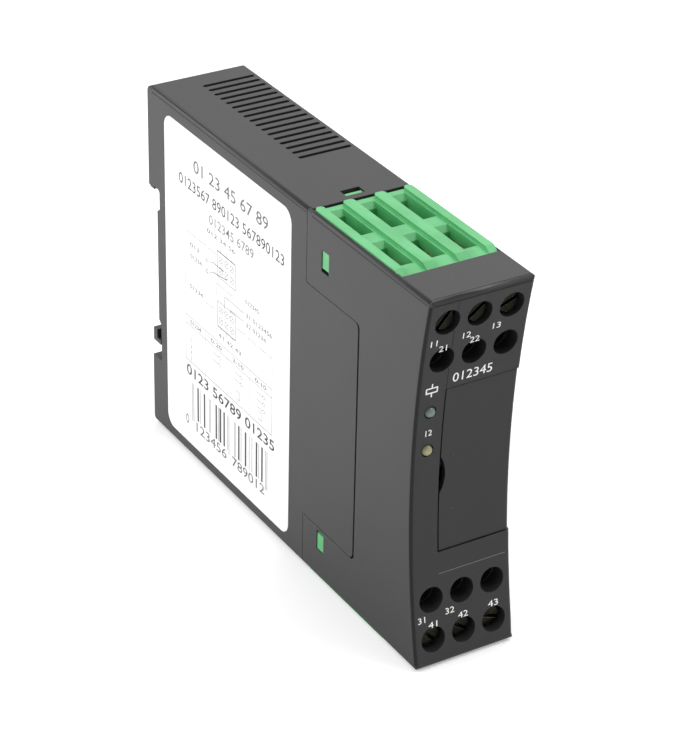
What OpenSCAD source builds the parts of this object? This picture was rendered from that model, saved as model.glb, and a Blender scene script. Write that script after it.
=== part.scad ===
// Narrow signal converter module for a 35 mm mounting rail.
// A dark moulded housing with a concave front hood, two plug-in terminal
// blocks, a hinged front flap, a sprung rail foot and the circuit boards inside.
// The origin is at the middle of the footprint: x runs across the rail, y from
// the front to the rail and z upwards along the housing.

/* [Housing] */
// Width of the module across the rail
width = 22.5; // [21.5:0.1:24]
// Depth from the front edges to the back
depth = 108; // [106:0.5:114]
// Height of the housing without the terminal ridges
height = 80; // [79:0.5:84]
// Thickness of the side walls
side_wall = 1.3; // [1.1:0.1:1.4]
// Thickness of the top and bottom walls
end_wall = 1.5; // [1.3:0.1:1.7]
// Thickness of the back wall
back_wall = 1.8; // [1.4:0.1:2.2]
// Radius of the long outer edges
edge_r = 0.8; // [0.6:0.1:1.2]
// Radius of the upper and lower back corners
back_r = 1.6; // [1:0.1:2]
// Step of the back below the rail foot
lower_back_step = 0.8; // [0.5:0.1:1]

/* [Front hood] */
// How far the front curves in at mid height
front_sag = 4.15; // [3.5:0.1:4.8]
// Thickness of the front wall
front_wall = 1.6; // [1.4:0.1:1.8]
// Radius of the front vertical edges
front_edge_r = 0.8; // [0.6:0.1:1.3]
// Radius where the front meets the end faces
front_end_r = 0.8; // [0.4:0.1:1]
// How far the middle of the hood reaches back
hood_mid = 23.5; // [22:0.5:25]
// How far the arms of the hood reach back
hood_arm = 42.9; // [42.7:0.1:44]
// Height of the upper arms, from the top
upper_arm = 15.7; // [14:0.1:17]
// Height of the lower arms, from the bottom
lower_arm = 11.7; // [11:0.1:13]
// Depth of the closed strip in front of each terminal block
hood_strip = 10.9; // [10:0.1:11.5]
// Diameter of the screwdriver holes
screw_hole_d = 5.3; // [5.2:0.1:5.5]
// Wall of the sleeves behind the screwdriver holes
sleeve_wall = 0.6; // [0.4:0.1:0.6]
// Back end of the sleeves
sleeve_y = 8; // [7.8:0.1:8.4]
// Depth behind the front where the inner holes narrow, and their diameter there
hole_step = [3.6, 4.9];
// Width of the gap at the arms and of the wider gap between them
seam_gaps = [0.15, 0.5];
// Radius of the corners of the seam
seam_r = 1.2; // [0.5:0.1:1.5]

/* [Flap] */
// Left edge of the flap opening
flap_x = 6; // [5.8:0.1:6.5]
// Height of the flap opening
flap_h = 35.8; // [34:0.1:37]
// Middle of the flap opening above the middle of the housing
flap_rise = 1.3; // [0.5:0.1:2]
// Thickness of the flap
flap_wall = 1.2; // [1:0.1:1.4]
// Gap at the free edge of the flap
flap_gap = 0.4; // [0.3:0.05:0.5]
// Gap above and below the flap
flap_end_gap = 0.25; // [0.2:0.05:0.3]
// How far the flap lies below the hood
flap_inset = 0.2; // [0.1:0.05:0.3]
// Radius of the hinge barrel
barrel_r = 1.6; // [1.4:0.1:1.7]
// Diameter of the hinge pins
hinge_pin_d = 1.4; // [1.2:0.1:1.5]
// Height and depth of the thumb notch
notch = [8, 1.15];
// Running gap behind the hinge when the flap swings
flap_swing_gap = 0.3; // [0.2:0.05:0.4]
// Thickness of the pocket walls
pocket_wall = 1.2; // [1:0.1:1.2]

/* [Terminals] */
// Distance of the outer terminals from the sides
col_side = 4.35; // [4.3:0.05:4.5]
// Distance of the outer screws from the end face
outer_screw = 5.5; // [5.3:0.05:5.7]
// Distance between the two rows of screws
screw_rows = 8.35; // [8.2:0.05:8.4]
// Distance between the two rows of wire pockets
pocket_rows = 13.7; // [13.5:0.1:13.9]
// Width of the wire pockets
pocket_w = 3.1; // [2.8:0.1:3.3]
// Lengths of the front and the rear wire pockets
pocket_len = [9.1, 10.2];
// Front edge of the front wire pockets
pocket_front = 15.1; // [14.9:0.1:15.3]
// Height of the ridges above the end face
ridge_proud = 0.4; // [0.3:0.05:0.5]
// Depth of the lands below the end face
land_drop = 0.3; // [0.2:0.05:0.4]
// Width of the ridges between the wire pockets
ridge_w = 2.4; // [2.2:0.1:2.6]
// Width of the ridges along the sides
side_ridge_w = 1.8; // [1.6:0.1:1.9]
// Gap between the rim of the hood and the block
rim = 0.55; // [0.5:0.05:0.6]
// Depth of the terminal block from the end face
block_h = 18.5; // [18.2:0.1:18.8]
// Back end of the terminal blocks
block_back = 41.5; // [41.3:0.1:41.6]
// Gap behind the terminal blocks
back_gap = 0.55; // [0.4:0.05:0.7]
// Diameter of the screw tunnels
tunnel_d = 5; // [4.8:0.1:5]
// Diameter of the screw heads and of the threads
screw_d = [4.6, 3];
// Height of the screw heads
screw_head = 1.8; // [1.6:0.1:2]
// Bevel of the screw heads
head_bevel = 0.3; // [0.2:0.1:0.4]
// How far the outer and the inner screw heads lie behind the front
screw_sink = [1.3, 4.6];
// Width and depth of the screw slots
screw_slot = [0.8, 0.9];
// Turn of the screw slots and how much they turn on from column to column
slot_turn = [-48, 14];
// Outer size of the clamp cages
cage = [4.6, 7, 5.2];
// Thickness of the clamp cages
cage_wall = 0.8; // [0.7:0.05:0.85]
// Width and thickness of the contact bars
bar = [2.8, 0.8];
// Size of a latch window in the hood and its distance from the end face
latch = [2.6, 4.5, 6.5];
// Front edge of the latch windows
latch_y = 34.9; // [34.5:0.1:35.2]
// Width and length of the tongue windows, and their offset from the middle
tongue = [4.2, 2.4, -0.3];
// Strip of the end walls in front of the tongue windows
tongue_strip = 1.55; // [1.4:0.05:1.8]
// Thickness of the tongues of the block
tongue_wall = 1.7; // [1.5:0.1:1.8]
// Lengths of the hooks on the tongues, at the bottom and at the top
hook_len = [1.85, 1.2];
// Distances of the hooks and of the latch noses from the outer faces
flush_gap = [0.3, 0.15];

/* [Vents] */
// Number of vent slots in each end
vent_count = 17; // [12:1:17]
// Distance between vent slots
vent_pitch = 2.42; // [2.3:0.01:2.45]
// Length and width of a vent slot
vent = [12, 1];
// Distance of the vents from the side opposite the label
vent_side = 1.15; // [1.1:0.05:1.5]
// Distance of the last vent from the back
vent_back = 6.9; // [6.5:0.1:7.5]

/* [Label] */
// Depth and height of the label
label_size = [52.1, 74];
// Front edge of the label and its lower edge
label_at = [48.8, 2.6];
// Corner radius of the label
label_r = 3; // [2:0.1:4]
// Thickness of the label and depth of its recess
label_t = [0.12, 0.15];

/* [Rail] */
// Height of the mounting rail
rail_h = 35; // [35:0.1:35.2]
// Width of the grooves for the rail flanges
rail_groove = 2.35; // [2.1:0.05:2.4]
// Thickness of the lip behind the upper groove
rail_lip = 2.35; // [2.2:0.05:2.5]
// Height of the pad between the grooves above their floor
rail_pad = 1.05; // [0.9:0.05:1.1]
// How far the lip and the foot grip the rail
grip = 0.6; // [0.5:0.05:0.7]
// Travel of the foot
foot_travel = 2.5; // [2:0.1:2.8]
// Gap left below the foot at the end of its travel
foot_stop = 0.9; // [0.7:0.1:1.1]
// Thickness of the floor, height of the slot and thickness of the rim of the foot
foot_hook = [1.05, 2, 1.6];
// How far the head of the foot lies behind the groove floor
foot_front = 1; // [0.8:0.1:1.1]
// Width and thickness of the stem of the foot
foot_stem = [12.5, 2.2];
// Width of the window for the foot spring and its height above the ledge
foot_window = [5, 7.2];
// Height of the lower end of the stem, and of the spring ledge above it
foot_stem_z = [3.2, 2];
// Thickness of the spring ledge
foot_ledge = 1.6; // [1.4:0.1:1.8]
// Running clearance around the foot
foot_clear = 0.3; // [0.2:0.05:0.35]
// Mean diameter and wire diameter of the foot spring
spring_d = [1.7, 0.4];
// Turns of the foot spring
spring_turns = 7; // [5:0.5:9]

/* [Lamps] */
// Distance of the lamps from the label side
lamp_x = 3.15; // [3:0.05:3.2]
// Distances of the two lamps below the upper edge of the front board
lamp_drop = [1.9, 10.3];
// Diameter of a lamp lens
lamp_d = 2.5; // [2.3:0.1:2.6]
// Thickness of the lamp leads and distance between them
lamp_lead = [0.4, 1.27];

/* [Boards] */
// Thickness of the circuit boards
board_t = 1.6; // [1.4:0.1:1.6]
// Distance of the main board from the side wall opposite the label
board_side = 3.2; // [3:0.1:3.6]
// Front of the front board
front_board_y = 14.6; // [14.5:0.1:14.8]
// Gap between a terminal block and its riser board
riser_gap = 2.7; // [2.5:0.1:3]
// Distance of the riser boards from the side walls
riser_side = 1.3; // [1:0.1:1.5]
// Front and back edges of the riser boards
riser_y = [12.6, 44];
// Where the main board gets taller behind the terminal blocks
board_step = 45.6; // [45:0.1:47]
// Room between the main board and the walls
board_margin = 1.2; // [1:0.1:1.5]
// Front edge of the riser headers
header_y = 26.4; // [26:0.1:28]
// Pins in each header
header_n = 6; // [4:1:6]
// Side of a header body
header_side = 2.5; // [2.3:0.1:2.5]
// Spacing of the header pins
header_pitch = 2.54; // [2.5:0.01:2.54]
// Thickness of a header pin
header_pin = 0.64; // [0.5:0.02:0.64]
// Side of a trimmer body and diameter of its rotor
trimmer = [6.7, 3];
// Side of the range switch and diameter of its rotor
selector = [10, 5.6];
// Length of the rotors, and width and depth of their slots
rotor = [2.3, 0.7, 0.8];
// How far the trimmers and the switch lie off the middle of the width
dial_shift = [0.4, 1.2];

/* [Components] */
// Thickness, width and height of the transformer core
core = [5, 18, 16];
// Width of a leg of the transformer core
core_leg = 4.4; // [4:0.2:5]
// Height of the coil above the board
coil_h = 11.4; // [10:0.2:12]
// Distance of the coil flanges from the ends of the core, and their thickness
coil_flange = [3, 0.8];
// How far the winding lies inside the flanges, and its corner radius
winding = [0.7, 1.5];
// Distance of the transformer from the step of the board
transformer_front = 5.4; // [3:0.2:6]
// Width, height and thickness of an optocoupler
coupler = [6.4, 8.8, 3.4];
// Optocouplers: distance from the back edge, height above the middle
coupler_at = [[25, -18], [25, 9]];
// Diameter and length of the large capacitors
capacitor = [8, 11.5];
// Crimp groove of the capacitors: height, radius and how far its middle lies outside
crimp = [1.6, 0.6, 0.3];
// Capacitors: distance from the back edge, height above the middle
capacitor_at = [[11, -26], [11, -14], [30, -26]];
// Width, height and thickness of the small chips
small_chip = [4, 5, 1.6];
// Small chips: distance from the front edge, height above the middle
small_chip_at = [[5.4, -13.2], [5.4, -2.5], [5.4, 7]];
// Width, height and thickness of the long chips
long_chip = [4, 9, 1.6];
// Long chips: distance from the step of the board, height above the middle
long_chip_at = [[4.4, 20], [4.4, -30]];
// Length of a chip leg beside the chip and its width
chip_leg = [0.8, 0.4];
// Width, height and thickness of the regulator
regulator_body = [10, 9, 3.2];
// Height and thickness of the cooling tab of the regulator
regulator_tab = [15, 1.2];
// Regulator: distance from the back edge, height above the middle
regulator_at = [13, 8];
// Outer and inner diameter of the choke
choke_d = [8, 5.2];
// Length of the choke and thickness of its flanges
choke_len = [8, 1.2];
// Choke: distance from the back edge, height above the middle
choke_at = [9, -2];
// Width, height and thickness of the film capacitor
film = [13, 5, 9];
// Film capacitor: distance from the back edge, height above the middle
film_at = [31, 24];

/* [Hidden] */

$fn = 48;
eps = 0.01;
snug = 0.1;
running = 0.05;
over = 1;

front_r = (pow(height / 2, 2) + pow(front_sag, 2)) / (2 * front_sag);
front_lean = asin(height / 2 / front_r);
front_c = [front_end_r * (1 + sin(front_lean)) / cos(front_lean), height - front_end_r];
setback = front_c[0] - front_end_r;
mid_x = width / 2;
mid_z = height / 2;
inner_x = width - side_wall;
inner_z = height - end_wall;
col_pitch = mid_x - col_side;

flap_z0 = mid_z + flap_rise - flap_h / 2;
flap_z1 = flap_z0 + flap_h;
barrel_x = width - flap_inset - barrel_r;
barrel_y = front_sag + flap_inset + barrel_r;
hinge_hole_d = hinge_pin_d + 2 * running;
hinge_pin_l = pocket_wall - snug;
return_y = barrel_y + barrel_r - 0.35;
flap_sweep = norm([barrel_r, return_y - barrel_y]);
pocket_y = barrel_y + flap_sweep + flap_swing_gap;
dial_y = pocket_y + 0.7;

rail_z0 = mid_z - rail_h / 2;
rail_z1 = mid_z + rail_h / 2;
lip_y = depth - rail_lip;
recess_y = lip_y - rail_groove;
seat_y = recess_y + rail_pad;
foot_top = rail_z0 + grip;
foot_floor = foot_top - foot_hook[1];
foot_bottom = foot_floor - foot_hook[0];
foot_shelf = foot_bottom - foot_travel - foot_stop;
recess_h = 4.4;
lower_back = depth - lower_back_step;
foot_head = [recess_y + foot_front, lower_back + foot_clear];
channel_y0 = recess_y + 0.2;
channel_y1 = channel_y0 + foot_stem[1] + 2 * foot_clear;
channel_w = foot_stem[0] + 2 * foot_clear;
stem_y0 = channel_y0 + foot_clear;
stem_bottom = foot_stem_z[0];
window_w = foot_window[0];
window_z0 = stem_bottom + foot_stem_z[1];
ledge_z1 = window_z0 + foot_ledge;
window_z1 = ledge_z1 + foot_window[1];
spring_y = stem_y0 + foot_stem[1] / 2;

block_y = sleeve_y + snug;
cap_x0 = rim + 0.05;
cap_x1 = width - cap_x0;
cap_y0 = hood_strip + 0.15;
cap_y1 = block_back;
wall_front = block_back + back_gap;
tongue_y = wall_front + tongue_strip;
cap_z0 = height - end_wall - 0.1;
land_z = height - land_drop;
ridge_z = height + ridge_proud;
block_z0 = height - block_h;
block_x0 = side_wall + snug;
block_x1 = width - block_x0;
lip_drop = 0.5;
lip_len = 3;
screw_z1 = height - outer_screw;
cage_y0 = pocket_front;
bar_y0 = cage_y0 + 1.7;
bar_tail = 0.9;
leg_w = 0.8;
leg_z0 = block_z0 - riser_gap - board_t - 0.8;

riser_z1 = block_z0 - riser_gap;
riser_z0 = riser_z1 - board_t;
riser_x = [side_wall + riser_side, inner_x - riser_side];
board_x = inner_x - board_side - board_t;
board_y0 = front_board_y + board_t + 0.4;
board_y1 = recess_y - back_wall - 0.5;
board_face = board_x - snug;
front_board_z = [height - riser_z0 + 0.4, riser_z0 - 0.4];
rib_w = 0.6;
rib_h = 1.4;
header_x = board_x - 0.2 - header_side / 2;
lamp_z = [front_board_z[1] - lamp_drop[0], front_board_z[1] - lamp_drop[1]];
lens_r = 2.4;
tongue_x = [mid_x + tongue[2] - tongue[0] / 2, mid_x + tongue[2] + tongue[0] / 2];
vent_x = width - vent_side - vent[0];
core_window = (core[1] - 2 * core_leg) / 2 + 0.6;
coil_leg = core_leg / 2 - 0.6;
coil_w = coil_leg + core[1] - 2 * core_leg + 1;
dial_gap = (2 * riser_z0 - height - 2 * trimmer[0] - selector[0]) / 4;
range_at = [mid_x + dial_shift[1], height - riser_z0 + dial_gap + selector[0] / 2];
span_at = [mid_x + dial_shift[0], range_at[1] + selector[0] / 2 + dial_gap + trimmer[0] / 2];
zero_at = [mid_x + dial_shift[0], span_at[1] + trimmer[0] + dial_gap];

shell_colour = [0.16, 0.16, 0.17];
green_colour = [0.25, 0.72, 0.42];
brass_colour = [0.78, 0.62, 0.3];
steel_colour = [0.72, 0.73, 0.75];
board_colour = [0.1, 0.42, 0.22];
chip_colour = [0.1, 0.1, 0.11];

// Surface of the concave front at a height
function front_y(z) = front_sag - front_r + sqrt(pow(front_r, 2) - pow(z - mid_z, 2));
// Middle of a terminal column
function col_x(i) = mid_x + (i - 1) * col_pitch;

// From the corner of the housing to the middle of the footprint
module place() {
    translate([-mid_x, -(depth + setback) / 2, ridge_proud]) children();
}

// Turned upside down for the lower terminals
module lower_end() {
    translate([0, 0, height]) mirror([0, 0, 1]) children();
}

// A box between two opposite corners
module box(a, b) {
    translate(a) cube(b - a);
}

// An outline in y and z, extruded across the width
module along_x(x0, x1) {
    translate([x0, 0, 0]) rotate([90, 0, 90]) linear_extrude(x1 - x0) children();
}

// An outline in x and z, extruded along the depth
module along_y(y0, y1) {
    translate([0, y1, 0]) rotate([90, 0, 0]) linear_extrude(y1 - y0) children();
}

// A cylinder along the depth
module rod_y(x, z, y0, y1, d) {
    translate([x, y0, z]) rotate([-90, 0, 0]) cylinder(h = y1 - y0, d = d);
}

// A rectangle with round corners
module slab(size, r) {
    translate([r, 0]) square([size[0] - 2 * r, size[1]]);
    translate([0, r]) square([size[0], size[1] - 2 * r]);
    for (x = [r, size[0] - r], y = [r, size[1] - r]) translate([x, y]) circle(r);
}

// What a round corner takes off, or a fillet fills, at a square corner
module corner(at, dir, r) {
    translate(at) scale_dir(dir) difference() {
        square(r);
        translate([r, r]) circle(r);
    }
}

module scale_dir(dir) {
    mirror([dir[0] < 0 ? 1 : 0, 0]) mirror([0, dir[1] < 0 ? 1 : 0]) children();
}

// The space behind the concave front, between two planes, with round edges
module front_form(inset, x0, x1, r) {
    translate([0, front_sag - front_r, mid_z]) rotate([0, 90, 0])
        rotate_extrude($fn = 360)
            translate([front_r + inset, x0]) slab([depth, x1 - x0], r);
}

// Cut that rounds the sharp corner where the concave front meets an end face
module front_corner_cut() {
    touch = front_c - front_end_r * [cos(front_lean), sin(front_lean)];
    difference() {
        polygon([
            [-over, height + over], [front_c[0], height + over], front_c,
            touch - [eps, 0], [-over, touch[1]]
        ]);
        translate(front_c) circle(front_end_r);
    }
}

// Side outline of the hood, in y and z
module hood_outline() {
    difference() {
        union() {
            square([hood_mid, height]);
            square([hood_arm, lower_arm]);
            translate([0, height - upper_arm]) square([hood_arm, upper_arm]);
            corner([hood_mid, lower_arm], [1, 1], seam_r);
            corner([hood_mid, height - upper_arm], [1, -1], seam_r);
        }
        front_corner_cut();
        translate([0, height]) mirror([0, 1]) front_corner_cut();
    }
}

// Opening for the flap, its pocket and the swing of its hinge
module flap_opening() {
    box([flap_x, -over, flap_z0], [width + over, pocket_y, flap_z1]);
}

module pocket_windows() {
    for (p = [zero_at, span_at]) window(p, trimmer[0] + 0.6);
    window(range_at, selector[0] + 0.6);
}

module window(p, side) {
    box([p[0] - side / 2, pocket_y - over, p[1] - side / 2],
        [p[0] + side / 2, pocket_y + pocket_wall + over, p[1] + side / 2]);
}

module latch_window(x0, x1) {
    box([x0, latch_y, height - latch[2] - latch[1]], [x1, latch_y + latch[0], height - latch[2]]);
}

// Room for a terminal block between the arms of the hood
module block_opening() {
    box([side_wall, hood_strip, height - block_h], [inner_x, hood_arm + over, height + over]);
    box([rim, hood_strip, cap_z0], [width - rim, hood_arm + over, height + over]);
    for (x = [-over, inner_x - over]) latch_window(x, x + side_wall + 2 * over);
}

module front_hood() color(shell_colour) place() {
    difference() {
        union() {
            difference() {
                intersection() {
                    along_x(0, width) hood_outline();
                    along_y(-over, hood_arm + over) slab([width, height], edge_r);
                    front_form(0, 0, width, front_edge_r);
                }
                intersection() {
                    box([side_wall, -over, end_wall], [inner_x, hood_arm + over, inner_z]);
                    front_form(front_wall, -over, width + over, eps);
                }
            }
            intersection() {
                union() {
                    flap_pocket();
                    hole_sleeves();
                    lower_end() hole_sleeves();
                }
                front_form(front_wall / 2, -over, width + over, eps);
            }
        }
        flap_opening();
        pocket_windows();
        for (z = [flap_z0 - pocket_wall - over, flap_z1 - over])
            translate([barrel_x, barrel_y, z]) cylinder(h = pocket_wall + 2 * over, d = hinge_hole_d);
        block_opening();
        lower_end() block_opening();
        screwdriver_holes();
        lower_end() screwdriver_holes();
        for (z = lamp_z) rod_y(lamp_x, z, -over, pocket_y, lamp_d + 2 * running);
    }
}

// Walls around the recess behind the flap
module flap_pocket() {
    box([flap_x - pocket_wall, 0, flap_z0 - pocket_wall],
        [inner_x + eps, pocket_y + pocket_wall, flap_z1 + pocket_wall]);
}

// Sleeves that lead a screwdriver to the terminal block
module hole_sleeves() {
    for (i = [0:2], row = [0, 1])
        rod_y(col_x(i), row_z(row), 0, sleeve_y, screw_hole_d + 2 * sleeve_wall);
}

// Straight outer holes and stepped inner ones
module screwdriver_holes() {
    for (i = [0:2]) {
        rod_y(col_x(i), row_z(0), -over, sleeve_y + eps, screw_hole_d);
        rod_y(col_x(i), row_z(1), -over, front_y(row_z(1)) + hole_step[0], screw_hole_d);
        rod_y(col_x(i), row_z(1), 0, sleeve_y + eps, hole_step[1]);
    }
}

module front_flap() color(shell_colour) place() {
    z0 = flap_z0 + flap_end_gap;
    z1 = flap_z1 - flap_end_gap;
    notch_r = (pow(notch[0] / 2, 2) + pow(notch[1], 2)) / (2 * notch[1]);
    difference() {
        union() {
            intersection() {
                box([flap_x + flap_gap, -over, z0], [width, return_y, z1]);
                front_form(flap_inset, flap_inset, width - flap_inset, front_edge_r);
            }
            translate([barrel_x, barrel_y, z0]) cylinder(h = z1 - z0, r = barrel_r);
            translate([barrel_x, barrel_y, flap_z0 - hinge_pin_l])
                cylinder(h = flap_h + 2 * hinge_pin_l, d = hinge_pin_d);
        }
        difference() {
            intersection() {
                box([flap_x - over, -over, z0 - over],
                    [barrel_x, return_y + over, z1 + over]);
                front_form(flap_inset + flap_wall, -over, width + over, eps);
            }
            translate([barrel_x, barrel_y, z0 - over]) cylinder(h = z1 - z0 + 2 * over, r = barrel_r);
        }
        rod_y_notch(notch_r);
    }
}

// Thumb notch in the free edge of the flap
module rod_y_notch(r) {
    rod_y(flap_x + flap_gap - r + notch[1], mid_z, -over, return_y + over, 2 * r);
}

// Side outline of the rear housing, in y and z
module rear_outline() {
    mid0 = lower_arm + seam_gaps[0];
    mid1 = height - upper_arm - seam_gaps[0];
    difference() {
        union() {
            translate([hood_arm + seam_gaps[0], 0]) square([depth - hood_arm - seam_gaps[0], height]);
            translate([hood_mid + seam_gaps[1], mid0])
                square([hood_arm + over - hood_mid - seam_gaps[1], mid1 - mid0]);
        }
        corner([hood_mid + seam_gaps[1], mid0], [1, 1], seam_r);
        corner([hood_mid + seam_gaps[1], mid1], [1, -1], seam_r);
        corner([depth, height], [-1, -1], back_r);
        translate([lower_back, -over]) square([lower_back_step + over, foot_shelf + 2 * over]);
        corner([lower_back, 0], [-1, 1], back_r);
        rail_recess();
    }
}

// The rail slot with its tilt recesses, the lip and the room for the foot
module rail_recess() {
    polygon([
        [recess_y, foot_shelf], [depth + over, foot_shelf],
        [depth + over, rail_z1 + 0.2], [depth - 1, rail_z1 - grip], [lip_y, rail_z1 - grip],
        [lip_y, rail_z1], [recess_y + 0.5, rail_z1], [recess_y, rail_z1 - 0.5],
        [recess_y, rail_z1 - recess_h], [seat_y, rail_z1 - recess_h - 0.7],
        [seat_y, rail_z0 + 4], [recess_y, rail_z0 + 3]
    ]);
}

// Inside of the rear housing, in y and z
module rear_cavity() {
    mid_back = recess_y - back_wall;
    upper_back = depth - back_wall;
    polygon([
        [hood_mid - over, end_wall], [mid_back, end_wall], [mid_back, rail_z1 + back_wall],
        [upper_back, rail_z1 + back_wall], [upper_back, inner_z], [hood_mid - over, inner_z]
    ]);
}

module vents() {
    for (i = [0:vent_count - 1])
        translate([vent_x, depth - vent_back - i * vent_pitch - vent[1] / 2, -over])
            linear_extrude(height + 2 * over) slab(vent, vent[1] / 2 - eps);
}

// Thin inner walls that close the seam behind the hood
module seam_tongues() {
    t = 1;
    z = [block_h + 0.4, height - block_h - 0.4];
    for (x = [side_wall + snug, inner_x - snug - t])
        box([x, hood_mid - 2.5, z[0]], [x + t, hood_mid + 4, z[1]]);
    for (x = [side_wall - eps, inner_x - t - snug])
        box([x, hood_mid + seam_gaps[1] + 0.6, z[0]], [x + t + snug + eps, hood_mid + 4, z[1]]);
}

module board_ribs() {
    for (z = [end_wall - eps, inner_z - rib_h], x = [board_x - snug - rib_w, board_x + board_t + snug])
        box([x, board_step + 5, z], [x + rib_w, board_y1 + 0.5, z + rib_h + eps]);
}

module foot_channel() {
    difference() {
        box([mid_x - channel_w / 2, channel_y0, -over],
            [mid_x + channel_w / 2, channel_y1, foot_shelf + over]);
        box([mid_x - window_w / 2 + foot_clear, channel_y0 - over, window_z0 + snug * 3],
            [mid_x + window_w / 2 - foot_clear, channel_y1 - foot_clear, ledge_z1]);
    }
}

module label_recess() {
    along_x(-over, label_t[1]) translate(label_at) slab(label_size, label_r);
}

module tongue_window() {
    box([tongue_x[0], tongue_y, inner_z - over], [tongue_x[1], tongue_y + tongue[1], height + over]);
}

// Front edge of the end wall, between the arms of the hood
module wall_edge() {
    x0 = rim + seam_gaps[0];
    box([x0, wall_front, inner_z], [width - x0, hood_arm + over, height]);
}

module rear_housing() color(shell_colour) place() {
    difference() {
        intersection() {
            union() {
                along_x(0, width) rear_outline();
                wall_edge();
                lower_end() wall_edge();
            }
            along_y(0, depth + over) slab([width, height], edge_r);
        }
        difference() {
            along_x(side_wall, inner_x) rear_cavity();
            board_ribs();
        }
        vents();
        foot_channel();
        label_recess();
        tongue_window();
        lower_end() tongue_window();
    }
    seam_tongues();
}

// The foot that grips the lower edge of the rail
module rail_foot() color(shell_colour) place() {
    difference() {
        union() {
            along_x(foot_clear, width - foot_clear) polygon([
                [foot_head[0], foot_bottom], [foot_head[1], foot_bottom], [foot_head[1], foot_top],
                [foot_head[1] - foot_hook[2], foot_top], [foot_head[1] - foot_hook[2], foot_floor],
                [foot_head[0], foot_floor]
            ]);
            box([mid_x - foot_stem[0] / 2, stem_y0, stem_bottom],
                [mid_x + foot_stem[0] / 2, stem_y0 + foot_stem[1], foot_floor]);
        }
        box([mid_x - window_w / 2, stem_y0 - over, window_z0],
            [mid_x + window_w / 2, stem_y0 + foot_stem[1] + over, window_z1]);
    }
}

// Compression spring between the ledge of the housing and the foot
module foot_spring() color(steel_colour) place() {
    z0 = ledge_z1 + spring_d[1] / 2 + 0.02;
    z1 = window_z1 - spring_d[1] / 2 - 0.02;
    steps = 14;
    sides = 6;
    n = floor(spring_turns * steps);
    r = spring_d[1] / 2;
    rings = [for (i = [0:n]) let (a = 360 * i / steps) [
        for (k = [0:sides - 1]) let (b = 360 * k / sides, q = spring_d[0] / 2 + r * cos(b)) [
            mid_x + q * cos(a), spring_y + q * sin(a), z0 + (z1 - z0) * i / n + r * sin(b)
        ]
    ]];
    points = [for (ring = rings, p = ring) p];
    faces = concat(
        [[for (k = [0:sides - 1]) k]],
        [for (i = [0:n - 1], k = [0:sides - 1]) let (a = i * sides + k, b = i * sides + (k + 1) % sides)
            [a, a + sides, b + sides]],
        [for (i = [0:n - 1], k = [0:sides - 1]) let (a = i * sides + k, b = i * sides + (k + 1) % sides)
            [a, b + sides, b]],
        [[for (k = [sides - 1:-1:0]) n * sides + k]]
    );
    polyhedron(points, faces);
}

// Row offsets of a terminal: how far back, and how far from the end face
function row_y(row) = row * pocket_rows;
function row_z(row) = screw_z1 - row * screw_rows;

// A contact bar through a clamp cage, with its leg to the riser board
module contact(i, row, grow) {
    x = col_x(i);
    y0 = bar_y0 + row_y(row) - grow;
    y1 = y0 + bar[1] + 2 * grow;
    bottom = row_z(row) - cage[2] / 2;
    leg_x = row == 1 ? x + (i - 1) * 0.9 : i == 2 ? x - col_pitch / 2 : x + col_pitch / 2;
    leg_y = i == 2 && row == 0 ? 4 : 0;
    z0 = bottom - bar_tail - grow;
    z1 = bottom - 0.2 + grow;
    box([x - bar[0] / 2 - grow, y0, z0], [x + bar[0] / 2 + grow, y1, row_z(row) + 2]);
    box([min(x, leg_x) - leg_w / 2 - grow, y0 + leg_y, z0],
        [max(x, leg_x) + leg_w / 2 + grow, y1 + leg_y, z1]);
    box([x - leg_w / 2 - grow, y0, z0], [x + leg_w / 2 + grow, y1 + leg_y, z1]);
    box([leg_x - leg_w / 2 - grow, y0 + leg_y, leg_z0 - grow], [leg_x + leg_w / 2 + grow, y1 + leg_y, z1]);
}

module contacts(grow) {
    for (i = [0:2], row = [0, 1]) contact(i, row, grow);
}

// Sloped front lip and lands of the terminal block, in y and z
module cap_outline() {
    polygon([
        [cap_y0, cap_z0], [cap_y0, land_z - lip_drop], [cap_y0 + lip_len, land_z],
        [cap_y1, land_z], [cap_y1, cap_z0]
    ]);
}

// A ridge with a tapered front end and a rounded back end
module ridge(x0, x1) {
    r = 0.8;
    intersection() {
        along_x(x0, x1) polygon([
            [cap_y0 + 0.15, cap_z0 + eps], [cap_y0 + 0.15, land_z - lip_drop + 0.1],
            [cap_y0 + 2.2, ridge_z], [cap_y1, ridge_z], [cap_y1, cap_z0 + eps]
        ]);
        translate([x0, 0, cap_z0]) linear_extrude(ridge_z) union() {
            square([x1 - x0, cap_y1 - r]);
            translate([r, 0]) square([x1 - x0 - 2 * r, cap_y1]);
            for (x = [r, x1 - x0 - r]) translate([x, cap_y1 - r]) circle(r);
        }
    }
}

// The shaft that leads a wire to its clamp, with a sloped back edge
module wire_pocket(i, row) {
    x0 = col_x(i) - pocket_w / 2;
    y0 = pocket_front + row_y(row);
    y1 = y0 + pocket_len[row];
    box([x0, y0, row_z(row)], [x0 + pocket_w, y1, ridge_z + over]);
    along_x(x0, x0 + pocket_w) polygon([
        [y1 - eps, land_z - 1.2], [y1 + 1, land_z + eps],
        [y1 + 1, ridge_z + over], [y1 - eps, ridge_z + over]
    ]);
    half = [cage[0] / 2 + snug, cage[2] / 2 + snug];
    box([col_x(i) - half[0], y0 - snug, row_z(row) - half[1]],
        [col_x(i) + half[0], y1, row_z(row) + half[1]]);
}

// Latch nose on the side of the terminal block, inside the window of the hood
module latch_nose() {
    z1 = height - latch[2] - snug;
    z0 = z1 - latch[1] + 4 * snug;
    along_y(latch_y + snug, latch_y + latch[0] - snug) polygon([
        [block_x0 + eps, z1], [flush_gap[1], z1], [flush_gap[1], z0 + 4 * snug], [block_x0 + eps, z0]
    ]);
}

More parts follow.
